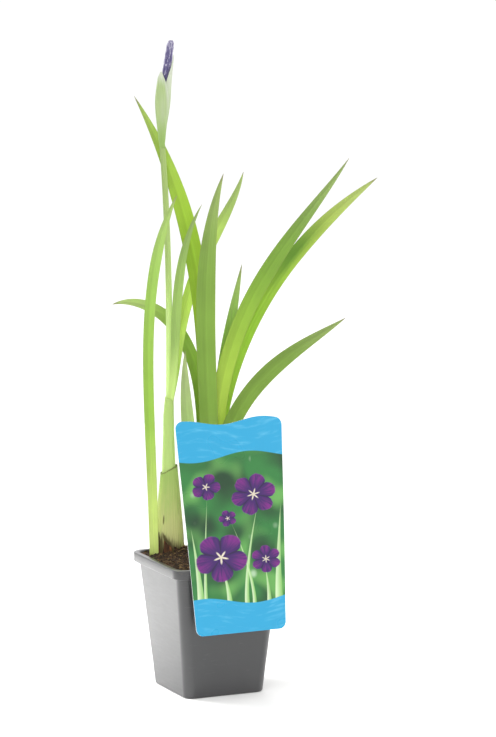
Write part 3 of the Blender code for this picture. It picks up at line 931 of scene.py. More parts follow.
@dataclass(frozen=True)
class Course:
    """The way a leaf or stem takes: four leans along it, a nod away from the front and a twist."""

    fan: Fan
    aside: float
    behind: float
    rise: float
    length: float
    lean: tuple[float, float, float, float]
    nod: float = 0.0
    twist: float = 0.0
    fine_steps: int = 168
    least_step: float = 1e-9

    def lean_at(self, share: float) -> float:
        """Find the lean on the smooth curve through the four leans.

        Args:
            share: How far along, from 0 to 1.

        Returns:
            The lean in radians.
        """
        knots = range(len(self.lean))
        total = 0.0
        for knot, angle in zip(knots, self.lean):
            total += angle * math.prod((share * knots[-1] - other) / (knot - other)
                                       for other in knots if other != knot)
        return math.radians(total)

    def heading(self, share: float) -> tuple[Vector, Vector]:
        """Find the direction of growth and the direction of the width.

        Args:
            share: How far along, from 0 to 1.

        Returns:
            The two directions, each one long.
        """
        side = self.lean_at(share)
        back = math.radians(self.nod) * share * share
        across, up = self.fan.across, upward(1.0)
        level = across * math.sin(side) + up * math.cos(side)
        ahead = level * math.cos(back) + self.fan.through * math.sin(back)
        return ahead, across * math.cos(side) - up * math.sin(side)

    def walk(self, stops: Sequence[float]) -> list[tuple[Vector, Vector, Vector, Vector]]:
        """Follow the course.

        Args:
            stops: Where to stop, in rising order, from 0 to 1.

        Returns:
            The centre, heading, width direction and face direction at each stop.
        """
        centre = self.fan.point(self.aside, self.behind, self.rise)
        travelled = 0.0
        found = []
        for stop in stops:
            while travelled < stop - self.least_step:
                step = min(1.0 / self.fine_steps, stop - travelled)
                centre = centre + self.heading(travelled + step / 2)[0] * (step * self.length)
                travelled += step
            ahead, wide = self.heading(stop)
            turn = Matrix.Rotation(math.radians(self.twist) * stop**3, 3, ahead)
            found.append((centre.copy(), ahead, turn @ wide, turn @ wide.cross(ahead)))
        return found

    def spine(self, name: str, stops: Sequence[float], root: Vector) -> bpy.types.Mesh:
        """Make a line of points along the course, with the directions that a tree reads.

        Args:
            name: The mesh's name.
            stops: Where the points are.
            root: How far from the foot, and which way, the line starts.

        Returns:
            The mesh, in metres.
        """
        found = self.walk(stops)
        found.insert(0, (found[0][0] + root, *found[0][1:]))
        mesh = bpy.data.meshes.new(name)
        mesh.from_pydata([centre * MM for centre, *_ in found], [(k, k + 1) for k in range(len(stops))], [])
        for mark, part in (("wide", 2), ("face", 3)):
            values = [number for stop in found for number in stop[part]]
            mesh.attributes.new(mark, "FLOAT_VECTOR", "POINT").data.foreach_set("vector", values)
        mesh.attributes.new("share", "FLOAT", "POINT").data.foreach_set("value", [0.0, *stops])
        return mesh


@cache
def leaf_tree() -> bpy.types.NodeTree:
    """Build the tree that spreads a sword leaf's thin, ribbed section along its spine.

    Returns:
        The tree. Its base is a spine, and its lengths are in metres.
    """
    tree = GrowthTree("sword_leaf")
    length, width, taper, run_out, foot_share, thickness, midrib, midrib_width, cup = tree.take(
        "Length", "Width", "Taper", "Run Out", "Foot Share", "Half Thickness", "Midrib Share",
        "Midrib Width", "Cup")
    columns = tree.take("Columns", kind=Kind.COUNT)[0]
    count = tree.grow("AttributeDomainSize", Geometry=tree.base, component="MESH")
    grid = tree.grow("MeshGrid", Size_X=1.0, Size_Y=1.0, Vertices_X=count + 1.0, Vertices_Y=columns + 1.0)
    here = tree.grow("InputPosition")
    along, round_it, _ = tree.split(here)
    row = ((along + 0.5) * count).reckon("ROUND")
    stop = (row - 1.0).at_least(0.0)
    open_up = row.at_most(1.0)
    angle = (round_it + 0.5) * math.tau
    side, rise = angle.cosine(), angle.sine()

    def sample(value: Wire, kind: str = "FLOAT_VECTOR") -> Wire:
        """Read a value of the spine at this row."""
        return tree.grow("SampleIndex", Geometry=tree.base, Value=value, Index=stop, data_type=kind,
                         domain="POINT")

    centre = sample(here)
    wide, face = (sample(tree.held(name, "FLOAT_VECTOR")) for name in ("wide", "face"))
    share = sample(tree.held("share"), "FLOAT")
    left = ((1.0 - share) * length / taper).at_most(1.0)
    narrowing = (left * QUARTER).sine() ** run_out
    at_foot = 1.0 - (1.0 - foot_share) * (1.0 - share) ** 3.0
    half = width * at_foot * narrowing * 0.5
    thin = (half * 2.6 / width).at_most(1.0)
    rib = ((side / midrib_width) ** 2.0 * -1.0).reckon("EXPONENT")
    lens = rise * (1.0 - midrib) + rise.reckon("SIGN") * rib * midrib
    hollow = cup * share * half * side * side
    spot = centre + wide * (side * half * open_up) + face * ((lens * thin * thickness + hollow) * open_up)
    marked = tree.store(tree.store(grid, "share", share), "side", side)
    moved = tree.grow("SetPosition", Geometry=marked, Position=spot)
    return tree.end(tree.grow("MergeByDistance", Geometry=moved, Distance=WELD))


@dataclass(frozen=True)
class SwordLeaf(Piece):
    """One sword leaf: its place in its fan, its size, its course and its finish."""

    name: str
    fan: Fan
    layer: float
    aside: float
    length: float
    width: float
    taper: float
    lean: tuple[float, float, float, float]
    nod: float
    finish: LeafFinish
    twist: float = 0.0
    rise: float = 1.2
    foot_share: float = 0.85
    root: Spot = (0.0, 0.0, -2.7)
    layer_pitch: float = 1.7
    half_thickness: float = 0.6
    run_out: float = 0.85
    tip_crowding: float = 1.4
    cup: float = 0.12
    midrib: float = 0.5
    midrib_width: float = 0.17
    rows: int = 110
    columns: int = 44
    slot = Slot.LEAF

    @property
    def node(self) -> str:
        """The leaf's node."""
        return f"leaf_{self.name}"

    def build(self) -> list[bpy.types.Object]:
        """Grow the leaf.

        Returns:
            The leaf's object.
        """
        course = Course(self.fan, self.aside, self.layer * self.layer_pitch, self.rise, self.length,
                        self.lean, self.nod, self.twist)
        stops = [1.0 - (1.0 - share) ** self.tip_crowding for share in shares(self.rows)]
        values = {
            "Length": self.length * MM, "Width": self.width * MM, "Taper": self.taper * MM,
            "Run Out": self.run_out, "Foot Share": self.foot_share,
            "Half Thickness": self.half_thickness * MM, "Midrib Share": self.midrib,
            "Midrib Width": self.midrib_width, "Cup": self.cup, "Columns": self.columns,
        }
        aside, behind, down = self.root
        root = self.fan.across * aside + self.fan.through * behind + upward(down)
        spine = course.spine(self.name, stops, root)
        return [run_tree(f"blade_{self.name}", leaf_tree(), spine, self.finish, values)]


LEAVES = (
    SwordLeaf("tall_left", LEAFY_FAN, 1, -3, 350, 14, 125, (-6, -1, -12, -29), 8,
              LeafFinish("leaf_tall_left_green", seed=1.0, blade=(158, 192, 58), upper=(162, 194, 62)), 15),
    SwordLeaf("upright", LEAFY_FAN, -2, -2, 288, 14.5, 105, (-4, -2.5, 0, 17), -10,
              LeafFinish("leaf_upright_green", seed=2.0, blade=(132, 168, 66), upper=(130, 160, 74),
                         greening=0.4), -15),
    SwordLeaf("long_right", LEAFY_FAN, -1, 2.5, 322, 13, 125, (-3.5, 7, 31.5, 34), -3,
              LeafFinish("leaf_long_right_green", seed=3.0, foot=(214, 238, 96), blade=(132, 172, 52),
                         upper=(118, 150, 68), greening=0.75), 18),
    SwordLeaf("far_right", LEAFY_FAN, 2, 2, 327, 11.5, 90, (-6, 12.5, 38.5, 59.5), 18,
              LeafFinish("leaf_far_right_green", seed=4.0, foot=(198, 226, 96), blade=(148, 190, 50),
                         upper=(172, 190, 88), greening=0.6, shaded_at=0.72, shaded=0.85), -12),
    SwordLeaf("low_right", LEAFY_FAN, -3, 0.5, 217, 13.2, 80, (-3, 12, 45, 54), -16,
              LeafFinish("leaf_low_right_green", seed=5.0, blade=(124, 156, 62), upper=(120, 148, 66),
                         tip=(140, 118, 96)), 15),
    SwordLeaf("slender", LEAFY_FAN, 0, 0, 217, 10, 85, (0, 2, 9, 12), 6,
              LeafFinish("leaf_slender_green", seed=6.0, blade=(158, 198, 88), upper=(150, 186, 92),
                         dry_share=0.94), -20),
    SwordLeaf("arching", LEAFY_FAN, 3, -3.5, 226, 10, 50, (-7, -1, -21, -113), 25,
              LeafFinish("leaf_arching_green", seed=7.0, blade=(134, 166, 68), upper=(158, 186, 96)), 25),
    SwordLeaf("behind_stem", FLOWERING_FAN, 2.1, 1.4, 179, 9.5, 70, (12, 12.5, 28, 16), 24,
              LeafFinish("leaf_behind_stem_green", seed=8.0, foot=(210, 232, 140), blade=(216, 238, 124),
                         upper=(150, 178, 92)), -15, 118.3, 0.6, (-0.6, -1.2, -4.0)),
    SwordLeaf("before_stem", FLOWERING_FAN, -2.1, 1.4, 149, 7.5, 80, (8, 2.5, 9.5, 29), -10,
              LeafFinish("leaf_before_stem_green", seed=9.0, foot=(218, 240, 150), blade=(162, 192, 106),
                         upper=(146, 174, 100)), 15, 118.3, 0.6, (-0.6, 1.2, -4.0)),
    SwordLeaf("outer_left", FLOWERING_FAN, -4.4, -11.6, 275, 8, 60, (-1, -2, 4, 25), -12,
              LeafFinish("leaf_outer_left_green", seed=10.0, foot=(214, 228, 136), blade=(156, 192, 82),
                         upper=(168, 204, 104), greening=0.4), -20),
    SwordLeaf("young", YOUNG_SHOOT, -0.4, 0, 155, 10, 65, (0, -5.5, -5, 2), -8,
              LeafFinish("leaf_young_green", seed=11.0, blade=(168, 196, 118), upper=(168, 186, 128),
                         dry_share=0.95)),
)


def stem_tree() -> bpy.types.NodeTree:
    """Build the tree that runs a round, tapering stem along its spine.

    Returns:
        The tree. Its base is a spine, and its lengths are in metres.
    """
    tree = GrowthTree("round_stem")
    foot, top, ridge, ridges = tree.take("Foot Radius", "Top Radius", "Ridge Share", "Ridges")
    sides = tree.take("Sides", kind=Kind.COUNT)[0]
    line = tree.grow("MeshToCurve", Mesh=tree.base)
    circle = tree.grow("CurvePrimitiveCircle", Resolution=sides, Radius=1.0)
    turn = tree.grow("InputIndex") * math.tau / sides
    swell = (turn * ridges).cosine() * ridge + 1.0
    ridged = tree.grow("SetPosition", Geometry=circle, Position=tree.grow("InputPosition") * swell)
    radius = foot + (top - foot) * tree.held("share")
    return tree.end(tree.grow("CurveToMesh", Curve=line, Profile_Curve=tree.store(ridged, "turn", turn),
                              Scale=radius, Fill_Caps=True))


@dataclass(frozen=True)
class FlowerStem(Piece):
    """The flower stem, which carries the bud."""

    finish: StemFinish
    course: Course = Course(FLOWERING_FAN, 0.0, 0.0, 0.6, 306.0, (-1.0, 0.5, -1.0, -4.0))
    root: float = 2.1
    foot_radius: float = 2.7
    top_radius: float = 2.1
    ridge: float = 0.02
    ridges: float = 9.0
    sides: int = 72
    rows: int = 120
    slot = Slot.STEM
    node = "stem"

    def build(self) -> list[bpy.types.Object]:
        """Grow the stem along its course.

        Returns:
            The stem's object.
        """
        values = {"Foot Radius": self.foot_radius * MM, "Top Radius": self.top_radius * MM,
                  "Ridge Share": self.ridge, "Ridges": self.ridges, "Sides": self.sides}
        spine = self.course.spine("stem_spine", shares(self.rows), upward(-self.root))
        return [run_tree("stem_round", stem_tree(), spine, self.finish, values)]


@dataclass(frozen=True)
class Bud(Piece):
    """The furled flower on top of the stem: petals rolled round each other."""

    finish: PetalFinish
    stem: FlowerStem
    lean: float = 5.0
    lift: float = 0.7
    length: float = 76.5
    foot_radius: float = 0.9
    belly_radius: float = 4.0
    tip_radius: float = 2.6
    belly_at: float = 0.45
    slimming: float = 0.9
    bow: float = 1.8
    folds: int = 3
    fold_depth: float = 0.2
    folds_from: float = 0.35
    folds_full: float = 0.8
    fold_lip: float = 0.12
    turn: float = 150.0
    blunt_from: float = 0.95
    blunt_share: float = 0.8
    crinkle: float = 0.34
    crinkle_from: float = 0.5
    crinkle_full: float = 0.9
    crinkles_round: float = 1.6
    crinkles_along: float = 34.0
    crinkle_falloff: float = 0.6
    tip_crowding: float = 1.15
    rows: int = 150
    sides: int = 96
    slot = Slot.BUD
    node = "bud"

    def radius(self, share: float) -> float:
        """Find the radius: a narrow foot, a belly, a blunt tip.

        Args:
            share: How far up the bud, from 0 to 1.

        Returns:
            The radius.
        """
        if share < self.belly_at:
            swell = (1.0 - math.cos(math.pi * max(0.0, share) / self.belly_at)) / 2
            return mix(self.foot_radius, self.belly_radius, swell)
        beyond = (share - self.belly_at) / (1.0 - self.belly_at)
        return mix(self.belly_radius, self.tip_radius, beyond**self.slimming)

    @cached_property
    def axes(self) -> tuple[Vector, Vector, Vector, Vector, Vector]:
        """Find the bud's axes, once.

        Returns:
            The foot, the bud's direction, the two directions across it and the stem's direction.
        """
        top, stem_ahead, *_ = self.stem.course.walk([1.0])[0]
        ahead, wide = Course(FLOWERING_FAN, 0, 0, 0, 1, (self.lean,) * 4).heading(0.0)
        return top + ahead * self.lift, ahead, wide, wide.cross(ahead), stem_ahead

    def across(self, angle: float) -> Vector:
        """Return the direction across the bud at an angle in radians."""
        _, _, wide, face, _ = self.axes
        return wide * math.cos(angle) + face * math.sin(angle)

    def spine(self, rise: float) -> Vector:
        """Find the middle of the bud, which bows as it swells.

        Args:
            rise: The height above its foot.

        Returns:
            The middle.
        """
        foot, ahead, wide, _, stem_ahead = self.axes
        if rise < 0:
            return foot + stem_ahead * rise
        bow = self.bow * math.sin(math.pi * clamp(rise / self.length))
        return foot + ahead * rise - wide * bow

    def build(self) -> list[bpy.types.Object]:
        """Roll the petals up the spine.

        Returns:
            The bud's object.
        """
        skin = Skin()
        loops = []
        for row in shares(self.rows):
            share = 1.0 - (1.0 - row) ** self.tip_crowding
            past = clamp((share - self.blunt_from) / (1.0 - self.blunt_from))
            blunt = math.sqrt(1.0 - self.blunt_share * past * past)
            depth = self.fold_depth * ease(share, self.folds_from, self.folds_full)
            points = []
            phases = []
            for angle in turns(self.sides):
                phase = (self.folds * angle / math.tau - math.radians(self.turn) * share / math.tau) % 1.0
                rolled = 1.0 - depth * (1.0 - phase) * ease(phase, 0.0, self.fold_lip)
                spot = Vector((angle * self.crinkles_round, share * self.crinkles_along, phase))
                radius = self.radius(share) * blunt * rolled
                radius += (self.crinkle * ease(share, self.crinkle_from, self.crinkle_full)
                           * noise.fractal(spot, self.crinkle_falloff, 2.0, 3))
                points.append(self.spine(share * self.length) + self.across(angle) * radius)
                phases.append(phase)
            loops.append(skin.loop(points, share=share, fold=phases))
        skin.chain(loops)
        skin.join(loops[-1], skin.loop([self.spine(self.length)], share=1.0, fold=1.0))
        skin.join(skin.loop([self.spine(0.0)], share=0.0, fold=0.0), loops[0])
        return [skin.solid("bud_petals", self.finish)]


@dataclass(frozen=True)
class Bract(Piece):
    """One bract of the bud: a thin leaf wrapped round it, narrowing to a point."""

    node: str
    bud: Bud
    finish: BractFinish
    start: float
    end: float
    facing: float
    clearance: float
    tip_clearance: float
    foot_clearance: float
    foot_share: float = 0.14
    hug_from: float = 0.92
    fullness: float = 3.6
    slimness: float = 0.5
    thickness: float = 0.5
    edge_thinning: float = 0.7
    rib_height: float = 0.05
    ribs: float = 40.0
    half_angle: float = 125.0
    rows: int = 70
    sides: int = 56
    slot = Slot.BRACT

    def inner_radius(self, share: float) -> float:
        """Find the inner radius; the foot and the tip close in.

        Args:
            share: How far up the bract, from 0 to 1.

        Returns:
            The radius.
        """
        rise = mix(self.start, self.end, share)
        hug = clamp((share - self.hug_from) / (1.0 - self.hug_from))
        clearance = mix(self.foot_clearance, self.clearance, ease(share, 0.0, self.foot_share))
        return self.bud.radius(rise / self.bud.length) + mix(clearance, self.tip_clearance, hug)

    def build(self) -> list[bpy.types.Object]:
        """Wrap the bract round the bud.

        Returns:
            The bract's object.
        """
        sides = sideways(self.sides)
        skin = Skin()
        loops = []
        for row in range(self.rows):
            share = math.sin(QUARTER * row / self.rows)
            centre = self.bud.spine(mix(self.start, self.end, share))
            inner = self.inner_radius(share)
            thick = mix(self.thickness / 4, self.thickness, min(1.0, share * 4))
            spread = self.half_angle * (1.0 - share**self.fullness) ** self.slimness
            ways = [self.bud.across(math.radians(self.facing + spread * side)) for side in sides]
            outer = [inner + thick * (1.0 - self.edge_thinning * abs(side) ** 3)
                     + self.rib_height * math.cos(side * self.ribs) * (1.0 - side * side) for side in sides]
            within = [centre + way * inner for way in ways]
            outside = [centre + way * radius for way, radius in zip(ways, outer)]
            loops.append(skin.loop(within + outside[::-1], share=share, side=sides + sides[::-1]))
        tip = self.bud.across(math.radians(self.facing)) * (self.inner_radius(1.0) + self.thickness / 2)
        skin.chain(loops)
        skin.join(loops[-1], skin.loop([self.bud.spine(self.end) + tip], share=1.0, side=0.0))
        skin.face(loops[0][::-1])
        return [skin.solid(f"{self.node}_wrap", self.finish)]


@dataclass(frozen=True)
class Sheath(Piece):
    """A sheath: rows of rise, aside, half width and half depth, its slanting mouth and its fold."""

    node: str
    fan: Fan
    rows: tuple[tuple[float, float, float, float], ...]
    wall: float
    slant: float
    finish: SheathFinish
    dip: float = 0.0
    fold_depth: float = 2.0
    fold_swell: float = 1.2
    fold_steps: int = 10
    fold_reach: float = 0.96
    lip_share: float = 0.4
    roundness: float = 3.0
    rib: float = 0.07
    ribs: float = 34.0
    ragged: float = 0.35
    rag_pitch: float = 3.0
    rag_falloff: float = 0.7
    levels: int = 90
    sides: int = 120
    slot = Slot.SHEATH

    def size_at(self, rise: float) -> tuple[float, ...]:
        """Find the sheath's size at a height.

        Args:
            rise: The height.

        Returns:
            The aside, the half width and the half depth.
        """
        for low, high in zip(self.rows, self.rows[1:]):
            if rise <= high[0]:
                share = (rise - low[0]) / (high[0] - low[0])
                return tuple(mix(first, last, share) for first, last in zip(low[1:], high[1:]))
        return self.rows[-1][1:]

    def point(self, rise: float, angle: float, inward: float) -> Vector:
        """Find a point of the wall.

        Args:
            rise: Its height, before the mouth's slant.
            angle: The turn round the sheath.
            inward: How far it lies inside the outer face.

        Returns:
            The point.
        """
        top, shoulder = self.rows[-1][0], self.rows[-2][0]
        aside, half_width, half_depth = self.size_at(rise)
        cosine, sine = math.cos(angle), math.sin(angle)
        wide, deep = (math.copysign(abs(part) ** (2 / self.roundness), part) for part in (cosine, sine))
        near_mouth = clamp((rise - shoulder) / (top - shoulder))
        spot = Vector((cosine * self.rag_pitch, sine * self.rag_pitch, top))
        torn = self.ragged * noise.fractal(spot, self.rag_falloff, 2.0, 3)
        lift = (self.slant * wide - self.dip * (1.0 - wide * wide) + torn) * near_mouth
        rib = self.rib * (math.cos(angle * self.ribs) - 1.0) if inward == 0.0 else 0.0
        return self.fan.point(aside + wide * (half_width - inward + rib), deep * (half_depth - inward + rib),
                              rise + lift)

    def wall_loop(self, skin: Skin, rise: float, inward: float) -> list[int]:
        """Add one loop of the wall to a skin.

        Args:
            skin: The skin that takes it.
            rise: Its height.
            inward: How far it lies inside the outer face.

        Returns:
            The places of its points.
        """
        angles = turns(self.sides)
        spots = [self.point(rise, angle, inward) for angle in angles]
        return skin.loop(spots, turn=angles, rise=rise, below_mouth=self.rows[-1][0] - rise)

    def build(self) -> list[bpy.types.Object]:
        """Make the sheath's wall, up to the mouth and folded in round what it holds.

        Returns:
            The sheath's object.
        """
        top, _, _, half_depth = self.rows[-1]
        spots = [(mix(self.rows[0][0], top, share), 0.0) for share in shares(self.levels)]
        spots.append((top, self.wall * self.lip_share))
        folds = shares(self.fold_steps, 1)
        spots += [(top - self.fold_depth * share, self.wall) for share in folds]
        spots += [(top - self.fold_depth + self.fold_swell * math.sin(QUARTER * share),
                   mix(self.wall, half_depth * self.fold_reach, share)) for share in folds]
        skin = Skin()
        skin.tube([self.wall_loop(skin, rise, inward) for rise, inward in spots])
        return [skin.solid(f"{self.node}_skin", self.finish)]


@dataclass(frozen=True)
class TornScales(Piece):
    """The ragged, dead scales round the foot of a sheath."""

    sheath: Sheath
    finish: FibreFinish
    angles: tuple[float, ...] = (150, 182, 205, 232, 262, 290, 318, 350, 25, 60, 95, 122)
    heights: tuple[float, ...] = (9, 17, 22, 19, 12, 6, 6, 5, 8, 5, 7, 10)
    half_angle: float = 13.0
    pointing: float = 1.4
    uneven: float = 0.35
    tear_pitch: float = 5.0
    crook: float = 8.0
    crook_turn: float = 0.7
    crook_pitch: float = 2.0
    crook_seed: float = 4.0
    curl: float = 0.8
    thickness: float = 0.3
    clearance: float = 0.12
    sink: float = 1.0
    rows: int = 14
    sides: int = 8
    slot = Slot.SHEATH
    node = ""

    def scale(self, skin: Skin, middle: float, height: float) -> None:
        """Add one torn scale, which narrows to a crooked point.

        Args:
            skin: The skin that takes it.
            middle: The way it faces, in degrees.
            height: How high it reaches.
        """
        loops = []
        for row in range(self.rows):
            share = row / self.rows
            torn = noise.noise(Vector((middle, share * self.tear_pitch, 0.0)))
            spread = self.half_angle * (1.0 - share**self.pointing) * (1.0 + self.uneven * torn)
            spot = Vector((middle * self.crook_turn, share * self.crook_pitch, self.crook_seed))
            bend = middle + self.crook * noise.noise(spot)
            curl = self.curl * share * share * (0.5 + torn)
            angles = [math.radians(bend + spread * side) for side in sideways(self.sides)]
            inner, outer = ([self.sheath.point(share * height, angle, inward - curl) - upward(self.sink)
                             for angle in angles]
                            for inward in (-self.clearance, -self.clearance - self.thickness))
            loops.append(skin.loop(inner + outer[::-1]))
        skin.tube(loops)

    def build(self) -> list[bpy.types.Object]:
        """Set the scales round the sheath's foot.

        Returns:
            The scales' object.
        """
        skin = Skin()
        for middle, height in zip(self.angles, self.heights):
            self.scale(skin, middle, height)
        return [skin.solid("torn_scales", self.finish)]


@dataclass(frozen=True)
class NurseryPot(Piece):
    """The square, thin-walled pot, with a rim that turns out and down."""

    finish: PlasticFinish
    height: float = 100.0
    rim_width: float = 90.0
    rim_skirt: float = 7.0
    rim_plate: float = 1.0
    rim_reach: float = 3.1
    rim_round: float = 0.9
    base_width: float = 64.0
    base_plate: float = 1.5
    base_round: float = 1.4
    wall: float = 1.0
    wall_steps: int = 8
    base_corner: float = 7.0
    top_corner: float = 8.5
    corner_share: float = 0.5
    corner_steps: int = 14
    round_steps: int = 5
    drain_radius: float = 4.0
    drain_offset: float = 21.0
    drain_sides: int = 32
    slot_length: float = 13.0
    slot_width: float = 4.0
    slot_offset: float = 25.0
    cutter_reach: float = 2.0
    sharp_from: float = 50.0
    slot = Slot.POT
    node = "pot"

    def square(self, half: float, corner: float, height: float) -> list[Vector]:
        """Draw a square with round corners.

        Args:
            half: Half its width.
            corner: The radius of its corners.
            height: Its height.

        Returns:
            The outline.
        """
        middle = half - corner
        angles = [QUARTER * step / self.corner_steps for step in range(self.corner_steps + 1)]
        spots = [Vector((middle + math.cos(angle) * corner, middle + math.sin(angle) * corner, 0.0))
                 for angle in angles]
        return [turn @ spot + upward(height) for turn in QUARTERS for spot in spots]

    def wall_half(self, height: float) -> float:
        """Return the outer half width of the wall at a height."""
        return mix(self.base_width / 2, self.rim_width / 2 - self.rim_reach, height / self.height)

    def wall_loop(self, inward: float, height: float) -> list[Vector]:
        """Return the wall's outline at a height, moved inward."""
        corner = mix(self.base_corner, self.top_corner, height / self.height) - inward * self.corner_share
        return self.square(self.wall_half(height) - inward, corner, height)

    def rim_loop(self, inward: float, height: float) -> list[Vector]:
        """Return the rim's outline at a height, moved inward from its outer face."""
        corner = self.top_corner + (self.rim_reach - inward) * self.corner_share
        return self.square(self.rim_width / 2 - inward, corner, height)

    def bend(self, line: Callable[[float, float], list[Vector]], inward: float, height: float, radius: float,
             start: float, end: float) -> list[list[Vector]]:
        """Return the outlines of a rounded edge; of its angles, 0 degrees is outward and 90 is up."""
        angles = [math.radians(mix(start, end, share)) for share in shares(self.round_steps)]
        return [line(inward - math.cos(angle) * radius, height + math.sin(angle) * radius)
                for angle in angles]

    def build(self) -> list[bpy.types.Object]:
        """Make the pot and cut its drain holes.

        Returns:
            The pot's object.
        """
        wall, rim = self.wall_loop, self.rim_loop
        under_plate = self.height - self.rim_plate
        edge = self.height - self.rim_round
        half_wall = self.wall / 2
        steps = shares(self.wall_steps, 1)
        outlines = [
            *self.bend(wall, self.base_round, self.base_round, self.base_round, -90, 0),
            *[wall(0.0, mix(self.base_round, under_plate, share)) for share in steps],
            rim(self.wall, under_plate),
            *self.bend(rim, half_wall, self.height - self.rim_skirt + half_wall, half_wall, 180, 360),
            *self.bend(rim, self.rim_round, edge, self.rim_round, 0, 90),
            *self.bend(wall, self.wall - self.rim_round, edge, self.rim_round, 90, 180),
            *[wall(self.wall, mix(edge, self.base_plate, share)) for share in steps],
        ]
        skin = Skin()
        skin.tube([skin.loop(outline) for outline in outlines])
        pot = skin.solid("pot_shell", self.finish)
        cutters = self.cutters()
        for cutter in cutters:
            pot.modifiers.new(cutter.name, "BOOLEAN").object = cutter
        settle(pot)
        for cutter in cutters:
            bpy.data.objects.remove(cutter, do_unlink=True)
        pot.data.shade_smooth()
        pot.data.set_sharp_from_angle(angle=math.radians(self.sharp_from))
        return [pot]

    def cutters(self) -> list[bpy.types.Object]:
        """Make the cutters of the four round drain holes and the four slots.

        Returns:
            The cutters.
        """
        outlines = []
        hole = [toward(angle) * self.drain_radius for angle in turns(self.drain_sides, 0.5)]
        half_length, half_width = self.slot_length / 2, self.slot_width / 2
        slit = [Vector((x * half_length, self.slot_offset + y * half_width, 0.0)) for x, y in CORNERS]
        for turn in QUARTERS:
            middle = turn @ Vector((self.drain_offset, self.drain_offset, 0.0))
            outlines.append([middle + spot for spot in hole])
            outlines.append([turn @ spot for spot in slit])
        cutters = []
        for outline in outlines:
            skin = Skin()
            skin.tube([skin.loop([spot + upward(height) for spot in outline])
                       for height in (-self.cutter_reach, self.base_plate + self.cutter_reach)])
            cutters.append(skin.solid(f"cutter_{len(cutters)}", self.finish))
        return cutters


CRUMB_SIZES = ("Crumbs per Square Metre", "Smallest", "Largest", "Flatness", "Lumps", "Bury Share")
CRUMB_COUNTS = ("Fineness", "Seed")
FIBRE_SIZES = ("Fibres per Square Metre", "Shortest", "Longest", "Girth Share", "Lift")


def crumb_tree() -> bpy.types.NodeTree:
    """Build the tree that strews lumpy crumbs over a surface.

    Returns:
        The tree. Its base is the surface, and its lengths are in metres.
    """
    tree = GrowthTree("crumbs")
    density, smallest, largest, flatness, lumps, bury = tree.take(*CRUMB_SIZES)
    fineness, seed = tree.take(*CRUMB_COUNTS, kind=Kind.COUNT)
    points = tree.grow("DistributePointsOnFaces", Mesh=tree.base, Density=density, Seed=seed)
    size = smallest + (largest - smallest) * tree.random(0.0, 1.0, seed + 1.0) ** 3.0
    turn = tuple(tree.random(0.0, math.tau, seed + offset) for offset in (2.0, 3.0, 4.0))
    shape = tree.combine(tree.random(0.7, 1.35, seed + 5.0), tree.random(0.6, 1.1, seed + 6.0), flatness)
    ball = tree.grow("MeshIcoSphere", Radius=1.0, Subdivisions=fineness)
    sunk = tree.grow("SetPosition", Geometry=tree.store(points, "crumb", size),
                     Offset=(0.0, 0.0, size * bury * -1.0))
    strewn = tree.grow("InstanceOnPoints", Points=sunk, Instance=ball, Rotation=turn, Scale=shape * size)
    real = tree.grow("RealizeInstances", Geometry=strewn)
    rough = tree.cloud(tree.grow("InputPosition"), 620.0, 2.0, 0.6) - 0.5
    bulge = tree.grow("InputNormal") * (rough * tree.held("crumb") * lumps)
    return tree.end(tree.grow("SetPosition", Geometry=real, Offset=bulge), smooth=False)


def fibre_tree() -> bpy.types.NodeTree:
    """Build the tree that strews short, bent fibres over a surface.

    Returns:
        The tree. Its base is the surface, and its lengths are in metres.
    """
    tree = GrowthTree("fibres")
    density, shortest, longest, girth, lift = tree.take(*FIBRE_SIZES)
    seed = tree.take("Seed", kind=Kind.COUNT)[0]
    points = tree.grow("DistributePointsOnFaces", Mesh=tree.base, Density=density, Seed=seed)
    arc = tree.grow("CurveQuadraticBezier", Resolution=7, Start=(-0.5, 0.0, -0.04), Middle=(0.1, 0.3, 0.16),
                    End=(0.5, -0.1, 0.0))
    ring = tree.grow("CurvePrimitiveCircle", Resolution=5, Radius=girth)
    thread = tree.grow("CurveToMesh", Curve=arc, Profile_Curve=ring, Fill_Caps=True)
    size = tree.random(shortest, longest, seed + 1.0)
    turn = (tree.random(-0.3, 0.3, seed + 2.0), tree.random(-0.35, 0.35, seed + 3.0),
            tree.random(0.0, math.tau, seed + 4.0))
    raised = tree.grow("SetPosition", Geometry=points, Offset=(0.0, 0.0, lift))
    return tree.end(tree.grow("InstanceOnPoints", Points=raised, Instance=thread, Rotation=turn, Scale=size))


